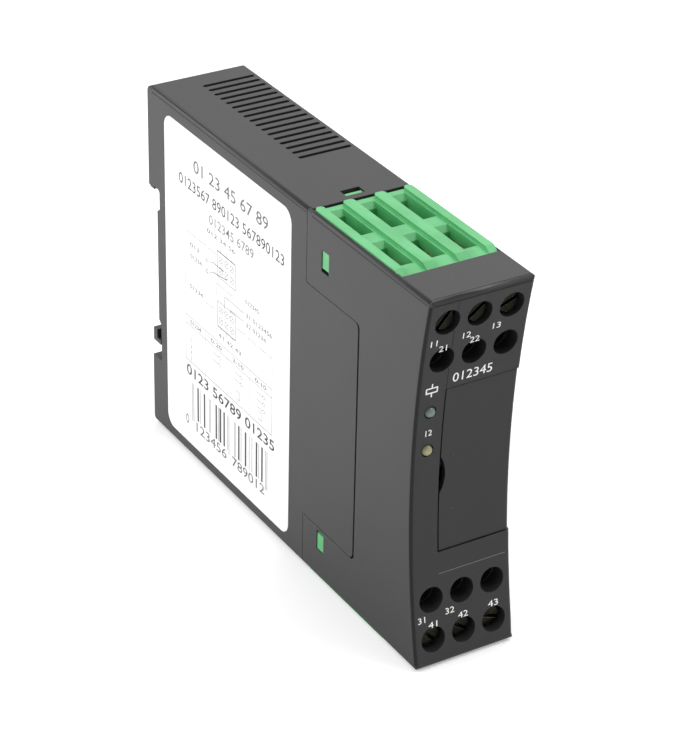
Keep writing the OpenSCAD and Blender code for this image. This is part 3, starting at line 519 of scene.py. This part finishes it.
# Which finish each CAD node has
nodeFinish = {
    "rear_housing": "dark_shell",
    "front_hood": "dark_shell",
    "front_flap": "dark_shell",
    "rail_foot": "dark_shell",
    "top_terminal_block": "green_plastic",
    "bottom_terminal_block": "green_plastic",
    "top_terminal_screws": "screw_steel",
    "bottom_terminal_screws": "screw_steel",
    "top_clamp_cages": "clamp_brass",
    "bottom_clamp_cages": "clamp_brass",
    "top_contact_bars": "contact_tin",
    "bottom_contact_bars": "contact_tin",
    "foot_spring": "spring_steel",
    "side_label": "label_film",
    "green_lamp": "lamp_green",
    "yellow_lamp": "lamp_yellow",
    "main_board": "board_green",
    "front_board": "board_green",
    "top_riser_board": "board_green",
    "bottom_riser_board": "board_green",
    "top_header": "chip_black",
    "bottom_header": "chip_black",
    "front_header": "chip_black",
    "zero_trimmer": "trimmer_blue",
    "span_trimmer": "trimmer_blue",
    "zero_rotor": "rotor_white",
    "span_rotor": "rotor_white",
    "range_switch": "chip_black",
    "range_rotor": "rotor_orange",
    "transformer_core": "ferrite",
    "transformer_coil": "coil_tape",
    "optocouplers": "chip_black",
    "capacitors": "sleeve_blue",
    "signal_chips": "chip_black",
    "regulator": "chip_black",
    "choke": "ferrite",
    "film_capacitor": "film_red",
}
for name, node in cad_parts.items():
    for materialSlot in node.material_slots:
        materialSlot.material = finishes[nodeFinish[name]]
print("CAD nodes dressed:", len(nodeFinish))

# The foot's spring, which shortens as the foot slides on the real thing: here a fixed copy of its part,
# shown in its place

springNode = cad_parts["foot_spring"]
spring = bpy.data.objects.new("sliding_spring", springNode.data.copy())
spring.data.transform(springNode.matrix_world)
bpy.context.scene.collection.objects.link(spring)
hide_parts("foot_spring")
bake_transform(spring)


def addPiece(name, points, faces, material):
    mesh = bpy.data.meshes.new(name)
    mesh.from_pydata(points, [], faces)
    mesh.validate()
    mesh.update()
    mesh.materials.append(material)
    piece = bpy.data.objects.new(name, mesh)
    bpy.context.scene.collection.objects.link(piece)
    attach(piece, "module")
    return piece


# Print, as thin raised ink

glyphs = {}


def glyphMesh(text, fat=0.0):
    # the plain built-in figures, one unit thick, with their strokes widened by fat
    key = (text, fat)
    if key not in glyphs:
        curve = bpy.data.curves.new("glyphs", "FONT")
        curve.body = text
        curve.extrude = 0.5
        curve.offset = fat
        curve.resolution_u = 3
        holder = bpy.data.objects.new("glyphs", curve)
        bpy.context.scene.collection.objects.link(holder)
        bpy.context.view_layer.update()
        solved = holder.evaluated_get(bpy.context.evaluated_depsgraph_get())
        mesh = bpy.data.meshes.new_from_object(solved)
        points = [v.co.copy() for v in mesh.vertices]
        faces = [list(p.vertices) for p in mesh.polygons]
        bpy.data.objects.remove(holder)
        bpy.data.curves.remove(curve)
        bpy.data.meshes.remove(mesh)
        glyphs[key] = (points, faces)
    return glyphs[key]


digitHigh = max(p.y for p in glyphMesh("1")[0])


class Ink:
    # flat shapes on a sheet, u to the right and v up in millimetres
    def __init__(self, thick):
        self.thick = thick
        self.points = []
        self.faces = []

    def prism(self, outline):
        first = len(self.points)
        count = len(outline)
        self.points += [(u, v, 0.0) for u, v in outline]
        self.points += [(u, v, self.thick) for u, v in outline]
        self.faces.append([first + i for i in reversed(range(count))])
        self.faces.append([first + count + i for i in range(count)])
        for i in range(count):
            j = (i + 1) % count
            self.faces.append([first + i, first + j, first + count + j, first + count + i])

    def bar(self, u0, v0, u1, v1):
        self.prism([(u0, v0), (u1, v0), (u1, v1), (u0, v1)])

    def line(self, start, end, width):
        start = Vector(start)
        end = Vector(end)
        side = Vector((start.y - end.y, end.x - start.x)).normalized() * width / 2
        self.prism([tuple(start - side), tuple(end - side), tuple(end + side), tuple(start + side)])

    def path(self, spots, width):
        for start, end in zip(spots, spots[1:]):
            self.line(start, end, width)

    def dashed(self, start, end, width, dash, gap):
        start = Vector(start)
        length = (Vector(end) - start).length
        step = (Vector(end) - start).normalized()
        run = 0.0
        while run < length:
            self.line(start + step * run, start + step * min(run + dash, length), width)
            run += dash + gap

    def ring(self, u, v, radius, width, steps=24):
        first = len(self.points)
        for i in range(steps):
            turn = 2 * math.pi * i / steps
            for out, height in ((radius, 0), (radius, 1), (radius - width, 1), (radius - width, 0)):
                spot = (u + out * math.cos(turn), v + out * math.sin(turn), height * self.thick)
                self.points.append(spot)
        for i in range(steps):
            here = first + 4 * i
            there = first + 4 * ((i + 1) % steps)
            for k in range(4):
                n = (k + 1) % 4
                self.faces.append([here + k, there + k, there + n, here + n])

    def number(self, text, u, v, high, wide=None, fat=0.0):
        # plain figures with their foot at v, middled on u, and stretched to wide where it is given
        points, faces = glyphMesh(text, fat)
        scale = high / digitHigh
        left = min(p.x for p in points)
        length = max(p.x for p in points) - left
        stretch = wide / length if wide else scale
        middle = left + length / 2
        first = len(self.points)
        for p in points:
            pu = (p.x - middle) * stretch
            self.points.append((u + pu, v + p.y * scale, (p.z + 0.5) * self.thick))
        self.faces += [[first + i for i in face] for face in faces]

    def onto(self, name, wrap, material):
        addPiece(name, [wrap(*p) for p in self.points], self.faces, material)


# White print on the hollow front

frontPrint = {
    "thick": 0.03,
    "terminals": {          # middle of each terminal's number, and its width
        "11": (2.1, 70.35, 1.4), "12": (9.1, 70.35, 1.7), "13": (15.5, 70.65, 1.7),
        "21": (4.2, 68.75, 1.7), "22": (11.0, 68.9, 2.1),
        "31": (2.0, 10.15, 1.6), "32": (8.4, 10.4, 2.0),
        "41": (4.45, 8.6, 2.0), "42": (11.3, 8.7, 2.2), "43": (18.2, 8.9, 2.3),
    },
    "high": 1.25,           # height of those numbers
    "lamp": ("12", 3.15, 49.75, 1.25),              # figures, middle, foot and height
    "type": ("012345", 11.6, 60.35, 1.9, 8.6),      # and width
}


def ontoFront(u, v, w):
    return at(u, frontY(v) - w, v)


marks = Ink(frontPrint["thick"])
for text, (u, v, wide) in frontPrint["terminals"].items():
    marks.number(text, u, v - frontPrint["high"] / 2, frontPrint["high"], wide)
marks.number(*frontPrint["lamp"])
marks.number(*frontPrint["type"])

coilMark = {"x": 2.95, "z": 59.8, "wide": 2.35, "high": 1.0, "stub": 0.95, "line": 0.26}


def drawCoil(ink, look):
    # the plain sign for a relay coil
    x = look["x"]
    z = look["z"]
    line = look["line"]
    side = look["wide"] / 2
    rise = look["high"] / 2
    for way in (1, -1):
        level = z + way * rise
        ink.line((x - side - line / 2, level), (x + side + line / 2, level), line)
        ink.line((x - way * side, z - rise), (x - way * side, z + rise), line)
        ink.line((x, level), (x, level + way * look["stub"]), line)


drawCoil(marks, coilMark)
marks.onto("front_print", ontoFront, whiteInk)

# Witness lines of the mould on the front, broken where they meet the screw holes
witness = {
    "x": 6.15,
    "runs": ((59.5, 63.9), (68.4, 72.2), (76.8, 78.4)),
    "steps": 5,             # pieces of each run, so that it follows the hollow
    "wide": 0.11,
    "low": 18.85,           # height of the pale line across the front that paints the ridge's highlight, and its right end
    "right": 21.3,
    "fine": 0.07,
    "proud": 0.03,
}
seams = Ink(witness["proud"])
for low, high in witness["runs"]:
    step = (high - low) / witness["steps"]
    for i in range(witness["steps"]):
        start = (witness["x"], low + step * i)
        seams.line(start, (witness["x"], low + step * (i + 1)), witness["wide"])
seams.onto("front_witness_lines", ontoFront, seamAndShadeInk)
# a pale line of ink that paints the highlight along the ridge
ridge = Ink(witness["proud"])
ridge.line((witness["x"], witness["low"]), (witness["right"], witness["low"]), witness["fine"])
ridge.onto("front_ridge_painted_highlight", ontoFront, paleInkAndHighlight)

# The rounded heads of the two lamps, which stand out of their holes

dome = {"radius": 1.18, "sunk": 0.50, "rings": 8, "sides": 28}


def lampDome(name, node, look):
    low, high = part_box(node)
    x = ((low.x + high.x) / 2 - corner.x) / mm
    z = ((low.z + high.z) / 2 - corner.z) / mm
    y = frontY(z) + look["sunk"]
    count = look["sides"]
    points = [at(x, y - look["radius"], z)]
    for ring in range(1, look["rings"] + 1):
        lean = math.pi / 2 * ring / look["rings"]
        out = look["radius"] * math.sin(lean)
        back = look["radius"] * math.cos(lean)
        for i in range(count):
            turn = 2 * math.pi * i / count
            points.append(at(x + out * math.cos(turn), y - back, z + out * math.sin(turn)))
    faces = []
    for i in range(count):
        j = (i + 1) % count
        faces.append([0, 1 + i, 1 + j])
        for ring in range(look["rings"] - 1):
            inner = 1 + ring * count
            outer = inner + count
            faces.append([inner + i, outer + i, outer + j, inner + j])
    faces.append([1 + (look["rings"] - 1) * count + i for i in reversed(range(count))])
    piece = addPiece(name, points, faces, finishes[nodeFinish[node]])
    for polygon in piece.data.polygons:
        polygon.use_smooth = len(polygon.vertices) < count      # all but the flat back


lampDome("green_lamp_dome", "green_lamp", dome)
lampDome("yellow_lamp_dome", "yellow_lamp", dome)

# The bead along the upper edges, with fine dark lines of ink on it, beside it and below it that paint shade

bead = {
    "radius": 0.55,
    "sides": 12,
    "back": 0.09,           # how far the front one is set back, to stay within the hood
    "lap": 0.2,             # how far behind its middle the long one starts
    "hood": (1.0, 41.3),    # the hood's and the housing's stretch of the long edge
    "rear": (43.3, 106.0),
    "across": (0.9, 21.6),  # the stretch of the front edge that has painted shade lines
    "proud": 0.01,          # thickness of the painted shade lines
    "inner": 0.9,           # how far back the painted shade line on the top lies
    "low": 78.85,           # height of the painted shade lines below the bead
    "topLine": 0.14,
    "beadLine": 0.16,
    "sideLine": 0.22,
    "frontLine": 0.30,
}
band = {                    # painted shade: a dark band of ink on the rounded upright edge of the front
    "low": 1.0,
    "steps": 24,
    "step": 3.24,
    "wide": 0.62,
    "inset": 0.227,         # how far the rounding lies within the sharp corner
}
slant = math.sqrt(0.5)      # what a step of 1 at 45 degrees moves along each axis
beadIn = bead["radius"]
beadHigh = case["height"] - beadIn
beadFront = frontY(beadHigh) + bead["back"] + beadIn
stretches = (bead["hood"], bead["rear"])


def beadAlong(name, start, end, look, finish=shell):
    # a round bar that lies in the edge and stands a little proud of its rounding
    up = Vector((0, 0, 1))
    side = (end - start).normalized().cross(up)
    count = look["sides"]
    points = []
    for spot in (start, end):
        for i in range(count):
            turn = 2 * math.pi * i / count
            points.append(spot + (side * math.cos(turn) + up * math.sin(turn)) * look["radius"] * mm)
    faces = [[i, (i + 1) % count, count + (i + 1) % count, count + i] for i in range(count)]
    faces += [list(reversed(range(count))), [count + i for i in range(count)]]
    piece = addPiece(name, points, faces, finish)
    for polygon in piece.data.polygons[:count]:
        polygon.use_smooth = True


def onEdge(x, y):
    return at(x, y, beadHigh)


beadAlong("front_edge_bead", onEdge(beadIn, beadFront), onEdge(case["width"] - beadIn, beadFront), bead,
          rubbedShell)
beadAlong("hood_side_bead", onEdge(beadIn, beadIn + bead["lap"]), onEdge(beadIn, bead["hood"][1]), bead)
beadAlong("rear_side_bead", onEdge(beadIn, bead["rear"][0]), onEdge(beadIn, bead["rear"][1]), bead)


def ontoTop(u, v, w):
    return at(u, v, case["height"] + w)


def ontoSide(u, v, w):
    return at(-w, u, v)


def ontoBead(u, v, w):
    # u across the bead at its outer side, v along it
    out = (bead["radius"] + w) * slant
    slip = u * slant
    return at(beadIn - out + slip, v, beadHigh + out + slip)


def ontoCorner(u, v, w):
    # u across the rounded upright edge of the front, v up it
    out = band["inset"] - w * slant
    slip = u * slant
    return at(out + slip, frontY(v) + out - slip, v)


# dark ink lines that paint shade along the bead and on the rounded upright edge of the front
def drawJoint(name, wrap, lines, width):
    ink = Ink(bead["proud"])
    for start, end in lines:
        ink.line(start, end, width)
    ink.onto(name, wrap, seamAndShadeInk)


left, right = bead["across"]
inner = bead["inner"]
low = bead["low"]
heights = [band["low"] + i * band["step"] for i in range(band["steps"])]
drawJoint("top_painted_shade_line", ontoTop, [((left, inner), (right, inner))], bead["topLine"])
drawJoint("bead_painted_shade_lines", ontoBead, [((0, start), (0, end)) for start, end in stretches], bead["beadLine"])
drawJoint("front_corner_painted_shade", ontoCorner, [((0, z), (0, z + band["step"])) for z in heights], band["wide"])
drawJoint("side_painted_shade_lines", ontoSide, [((start, low), (end, low)) for start, end in stretches],
          bead["sideLine"])
drawJoint("front_painted_shade_line", ontoFront, [((left, low), (right, low))], bead["frontLine"])

# Scales around the three dials behind the flap

scaleLook = {"thick": 0.03, "line": 0.18, "from": -135, "to": 135, "figure": 0.75}
trimmerScale = {"ticks": 11, "inner": 1.85, "outer": 2.45, "figures": {0: "0", 10: "10"}, "reach": 3.0}
switchScale = {
    "ticks": 10, "inner": 3.05, "outer": 3.55,
    "figures": {i: str(i) for i in range(10)}, "reach": 4.20,
}


def drawScale(name, base, look, shared):
    # ticks and plain figures on the face that the dial turns over
    low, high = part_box(name)
    middle = (low + high) / 2 - corner
    spot = Vector((middle.x, middle.z)) / mm
    face = (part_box(base)[0].y - corner.y) / mm
    ink = Ink(shared["thick"])
    for i in range(look["ticks"]):
        turn = math.radians(shared["from"] + (shared["to"] - shared["from"]) * i / (look["ticks"] - 1))
        way = Vector((math.sin(turn), math.cos(turn)))
        ink.line(spot + way * look["inner"], spot + way * look["outer"], shared["line"])
        if i in look["figures"]:
            place = spot + way * look["reach"]
            ink.number(look["figures"][i], place.x, place.y - shared["figure"] / 2, shared["figure"])
    ink.onto(name + "_scale", lambda u, v, w: at(u, face - w, v), whiteInk)


drawScale("zero_rotor", "zero_trimmer", trimmerScale, scaleLook)
drawScale("span_rotor", "span_trimmer", trimmerScale, scaleLook)
drawScale("range_rotor", "range_switch", switchScale, scaleLook)
print("front print made")

# Print on the side label

labelLow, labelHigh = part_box("side_label")


def ontoLabel(u, v, w):
    # u from the label's back edge towards the front, v up from its lower edge
    return Vector((labelLow.x - w * mm, labelHigh.y - u * mm, labelLow.z + v * mm))


labelPrint = {
    "thick": 0.015,
    "line": 0.13,           # width of the fine lines
    "lead": 0.20,           # and of the leads to the upper terminals
    "side": 0.22,           # and of the strong side of each outline
    "small": 0.95,          # height of the small figures
    "dash": 3.4,
    "gap": 0.9,
}

# Rows of figures on the label: middle, foot, height, width and how far they are fattened
small = labelPrint["small"]
fineRows = [
    ("01 23 45 67 89", 27.8, 65.6, 2.7, 30.4),
    ("012 34 56", 24.0, 54.5, small, 11.6),
    ("21", 18.0, 47.5, small),
    ("22", 18.0, 45.0, small),
    ("012", 12.9, 48.0, small, 4.0),
    ("01234", 13.4, 45.4, small, 4.8),
    ("31 0123456", 39.6, 42.6, small, 10.4),
    ("32 01234", 38.4, 40.4, small, 8.0),
    ("012345", 36.8, 45.6, small, 5.4),
    ("01234", 13.4, 38.2, small, 5.6),
    ("41 42 43", 27.6, 32.5, small, 9.4),
    ("01234", 13.0, 29.6, small, 4.6, 0.008),
    ("0-20", 21.9, 29.6, small, 4.6, 0.008),
    ("2-10", 31.1, 29.6, small, 4.6, 0.008),
    ("0-10", 40.4, 29.6, small, 4.6, 0.008),
    ("0", 9.0, 4.5, 2.2, 1.3),
    ("123456", 19.6, 4.5, 2.2, 13.2),
    ("789012", 35.4, 4.5, 2.2, 13.6),
]
heavyRows = [
    ("0123567 890123 567890123", 27.8, 60.8, 2.35, 43.0),
    ("0123 56789 01235", 27.5, 17.0, 2.35, 37.2, 0.008),
]
paleRows = [
    ("012345 6789", 28.2, 56.8, 2.1, 18.3, 0.004),
]

# Leads on the label, each by its corners
strongSides = [((22.5, 52.2), (30.0, 52.2)), ((22.5, 34.9), (30.0, 34.9))]
leads = [((25.2, 48.6), (20.9, 48.6)), ((26.6, 47.2), (20.9, 46.4))]
fineLeads = [
    ((25.2, 39.0), (25.6, 43.0), (33.4, 43.0)),
    ((27.6, 39.0), (28.0, 41.0), (33.4, 41.0)),
]
paleLeads = [
    ((20.9, 48.6), (19.0, 48.0)),
    ((20.9, 46.4), (19.0, 45.6)),
    ((22.2, 44.6), (22.2, 41.6)),
]
dashes = [
    ((22.0, 51.0), (9.6, 51.0)),
    ((8.6, 50.4), (8.6, 38.2)),
    ((22.2, 44.6), (28.6, 44.6)),
    ((17.6, 38.0), (22.2, 38.0)),
    ((30.8, 38.2), (45.0, 38.2)),
    ((45.0, 37.2), (45.0, 32.2)),
]

terminals = {
    "x": 22.5,              # left side of both outlines
    "upper": 46.4,          # and the foot of each
    "lower": 34.9,
    "pitch": 2.3,
    "rows": 2.5,            # distance between the rows
    "wide": 7.5,
    "high": 5.8,
    "circle": 0.80,
    "slot": 0.5,            # half of a screw slot, in each direction
    "stub": 1.1,
}


def drawTerminals(ink, pale, foot, way, look, line):
    # six terminals in their outline, with stubs at its upper side, or its lower one if way is -1
    u = look["x"]
    right = u + look["wide"]
    top = foot + look["high"]
    ink.path([(u, foot), (right, foot), (right, top), (u, top), (u, foot)], line)
    columns = [u + look["wide"] / 2 + step * look["pitch"] for step in (-1, 0, 1)]
    for side in (-0.5, 0.5):
        cv = foot + look["high"] / 2 + side * look["rows"]
        for cu in columns:
            pale.ring(cu, cv, look["circle"], line)
            pale.line((cu - look["slot"], cv - look["slot"]), (cu + look["slot"], cv + look["slot"]), line)
    edge = top if way > 0 else foot
    for cu in columns:
        pale.line((cu, edge), (cu, edge + way * look["stub"]), line)


ranges = {
    "left": 8.7,
    "right": 45.0,
    "low": 20.4,
    "head": 29.1,           # height of the line under the headings
    "high": 31.1,
    "columns": (17.3, 26.5, 35.8),
    "thin": 0.7,            # share of a fine line's width
    "numbers": (10.9, 26.6, 1.45, 5),       # middle, first foot, drop and count
    "signs": {20.4: 2, 29.6: 2, 38.8: 3},   # where a switch sign starts, and how many
    "first": 27.5,
    "drop": 1.65,
    "arm": 2.4,
    "ring": 0.5,
    "hooks": (30.2, 39.4),
    "hook": (21.6, 23.4, 1.6),              # foot, top and width
}


def drawRanges(ink, pale, look, figures, line):
    # a table with a switch sign for each range
    left = look["left"]
    right = look["right"]
    low = look["low"]
    high = look["high"]
    pale.path([(left, low), (left, high), (right, high), (right, low)], line)
    pale.line((left, look["head"]), (right, look["head"]), line)
    ink.line((left, low), (right, low), line)
    for u in look["columns"]:
        pale.line((u, low), (u, high), line * look["thin"])
    middle, first, drop, count = look["numbers"]
    for row in range(count):
        pale.number(str(row + 1), middle, first - row * drop, figures)
    for u, rows in look["signs"].items():
        for row in range(rows):
            v = look["first"] - row * look["drop"]
            pale.line((u, v), (u + look["arm"], v), line)
            pale.ring(u + look["arm"] + look["ring"], v, look["ring"], line, steps=16)
    foot, top, wide = look["hook"]
    for u in look["hooks"]:
        pale.path([(u, foot), (u + wide, foot), (u + wide, top), (u, top)], line)


stripes = {
    "pattern": "tt  d t  d   tt   d tdt d  tt   tt d t  d  t t  d t d  tt",
    "left": 11.2,
    "span": 32.5,
    "low": 7.2,
    "high": 15.5,
    "long": (0, 1, 28, 29, 30, 31, 32, 55, 56),     # places of the stripes that reach further down
    "drop": 1.0,
    "dark": 0.62,
    "pale": 0.22,
}


def drawStripes(heavy, pale, look):
    # a field of plain stripes: wide dark ones among fine pale ones
    step = look["span"] / len(look["pattern"])
    for i, kind in enumerate(look["pattern"]):
        u = look["left"] + i * step
        low = look["low"] - (look["drop"] if i in look["long"] else 0)
        if kind == "d":
            heavy.bar(u, low, u + look["dark"], look["high"])
        elif kind == "t":
            pale.bar(u, low, u + look["pale"], look["high"])


def drawLabel(look):
    fine = Ink(look["thick"])       # grey lines and figures
    heavy = Ink(look["thick"])      # the darkest figures and stripes
    pale = Ink(look["thick"])       # the faintest lines
    line = look["line"]
    for ink, rows in ((fine, fineRows), (heavy, heavyRows), (pale, paleRows)):
        for row in rows:
            ink.number(*row)
    drawTerminals(fine, pale, terminals["upper"], 1, terminals, line)
    drawTerminals(fine, pale, terminals["lower"], -1, terminals, line)
    for ink, lines, width in ((fine, strongSides, look["side"]), (fine, leads, look["lead"]),
                              (fine, fineLeads, line), (pale, paleLeads, line)):
        for spots in lines:
            ink.path(spots, width)
    for start, end in dashes:
        pale.dashed(start, end, line, look["dash"], look["gap"])
    drawRanges(fine, pale, ranges, look["small"], line)
    drawStripes(heavy, pale, stripes)
    fine.onto("label_lines", ontoLabel, greyInk)
    heavy.onto("label_stripes", ontoLabel, blackInk)
    pale.onto("label_pale_lines", ontoLabel, paleInkAndHighlight)


drawLabel(labelPrint)
print("label print made")

# Floor, light and camera

stageLook = {
    "floor": tint("f2f2f2"),
    "cloud": tint("ececec"),
    "cloudSize": 60,
    "cloudTone": 0.1,
    "half": 3.0,            # half the floor's side, metres
    "lift": 0.27,           # what the camera adds to the floor, so that it reads white
    "back": 0.62,           # painted reflection: brightness that only reflections see, added to the floor behind the object
    "front": 0.16,          # and painted shade that only reflections see, taken from it in front, and again on the right
    "way": (0.53, 0.85),    # the camera's way over the floor
    "reach": 170,           # mm over which that changes
    "world": 0.55,
    "open": (-0.459, -0.734, 0.50),     # the side of the open front, where gloss sees less world
    "dim": 0.72,            # how much less
    "from": 0.10,           # and between which slants that changes
    "to": 0.60,
}


black = (0, 0, 0, 1)
white = (1, 1, 1, 1)


def rays(paint, *kinds):
    # for each kind, 1 where the ray is of that kind
    return [paint.node("LightPath", out=f"Is {kind} Ray") for kind in kinds]


def makeFloor(look):
    half = look["half"]
    low = cadBox[0].z
    corners = [(-half, -half, low), (half, -half, low), (half, half, low), (-half, half, low)]
    mesh = bpy.data.meshes.new("floor")
    mesh.from_pydata(corners, [], [(0, 1, 2, 3)])
    paint = newPaint("floor")
    spot = paint.place()
    across = look["way"][0] * paint.axis(spot, "x")
    deep = look["way"][1] * paint.axis(spot, "y")
    near = paint.ramp(deep - across, -look["reach"], look["reach"])
    far = paint.ramp(deep + across, -look["reach"], look["reach"])
    camera, gloss = rays(paint, "Camera", "Glossy")
    cloud = paint.noise(spot, look["cloudSize"], 2)
    tone = paint.blend(cloud * look["cloudTone"], look["floor"], look["cloud"])
    # reflections alone see the floor darker in front and on the right, as painted shade, and brighter
    # behind the object, as painted reflection
    tone = paint.blend(gloss * (2 - near - far) * look["front"], tone, black)
    matt = paint.node("BsdfDiffuse", {}, {"Color": tone})
    strength = camera * look["lift"] + gloss * near * look["back"]
    lift = paint.node("Emission", {}, {"Color": white, "Strength": strength})
    both = paint.node("AddShader", {}, {0: matt, 1: lift})
    paint.node("OutputMaterial", {}, {0: both})
    mesh.materials.append(paint.owner)
    floor = bpy.data.objects.new("floor", mesh)
    bpy.context.scene.collection.objects.link(floor)


def makeWorld(look):
    world = bpy.data.worlds.new("studio")
    bpy.context.scene.world = world
    paint = Paint(world)
    camera, gloss, clear = rays(paint, "Camera", "Glossy", "Transmission")
    way = paint.node("TexCoord", out="Generated")
    lean = paint.node("VectorMath", {"operation": "DOT_PRODUCT"}, {0: way, 1: look["open"]}, out="Value")
    dim = paint.ramp(lean, look["from"], look["to"]) * gloss * look["dim"]
    strength = look["world"] + (1 - look["world"]) * (camera + gloss + clear) - dim
    back = paint.node("Background", {}, {"Color": white, "Strength": strength})
    paint.node("OutputWorld", {}, {0: back})


lamps = {
    "key": {"from": (-1.30, 0.33, 1.00), "size": 1.8, "power": 20.0},
    "top": {"from": (0.45, 0.10, 1.10), "size": 1.3, "power": 6.9},
    "glint": {"from": (0.46, -0.50, 0.73), "size": 0.30, "power": 1.6},
    "back": {"from": (0.50, 0.80, 0.55), "size": 0.60, "power": 0.6},
}


def makeLamps(table):
    aim = (cadBox[0] + cadBox[1]) / 2
    for name, lamp in table.items():
        light = bpy.data.lights.new(name, "AREA")
        light.size = lamp["size"]
        light.energy = lamp["power"]
        holder = bpy.data.objects.new(name, light)
        holder.location = aim + Vector(lamp["from"])
        holder.rotation_mode = "QUATERNION"
        holder.rotation_quaternion = (-Vector(lamp["from"])).to_track_quat("-Z", "Y")
        bpy.context.scene.collection.objects.link(holder)


cameraSpot = {
    "azimuth": -31.69,
    "elevation": 30.07,
    "roll": 1.31,
    "distance": 0.5167,
    "target": at(6.23, 40.13, 43.40),
    "lens": 127.54,
    "near": 0.01,
    "far": 20.0,
}


def makeCamera(spot):
    azimuth = math.radians(spot["azimuth"])
    elevation = math.radians(spot["elevation"])
    roll = math.radians(spot["roll"])
    flat = math.cos(elevation)
    back = Vector((math.sin(azimuth) * flat, -math.cos(azimuth) * flat, math.sin(elevation)))
    level = Vector((0, 0, 1)).cross(back).normalized()
    upright = back.cross(level)
    right = level * math.cos(roll) + upright * math.sin(roll)
    up = upright * math.cos(roll) - level * math.sin(roll)
    camera = bpy.data.cameras.new("camera")
    camera.lens = spot["lens"]
    camera.clip_start = spot["near"]
    camera.clip_end = spot["far"]
    holder = bpy.data.objects.new("camera", camera)
    turn = Matrix((right, up, back)).transposed().to_4x4()
    turn.translation = spot["target"] + back * spot["distance"]
    holder.matrix_world = turn
    bpy.context.scene.collection.objects.link(holder)
    bpy.context.scene.camera = holder


makeFloor(stageLook)
makeWorld(stageLook)
makeLamps(lamps)
makeCamera(cameraSpot)
bpy.context.scene.view_settings.view_transform = "Standard"
print("stage set")
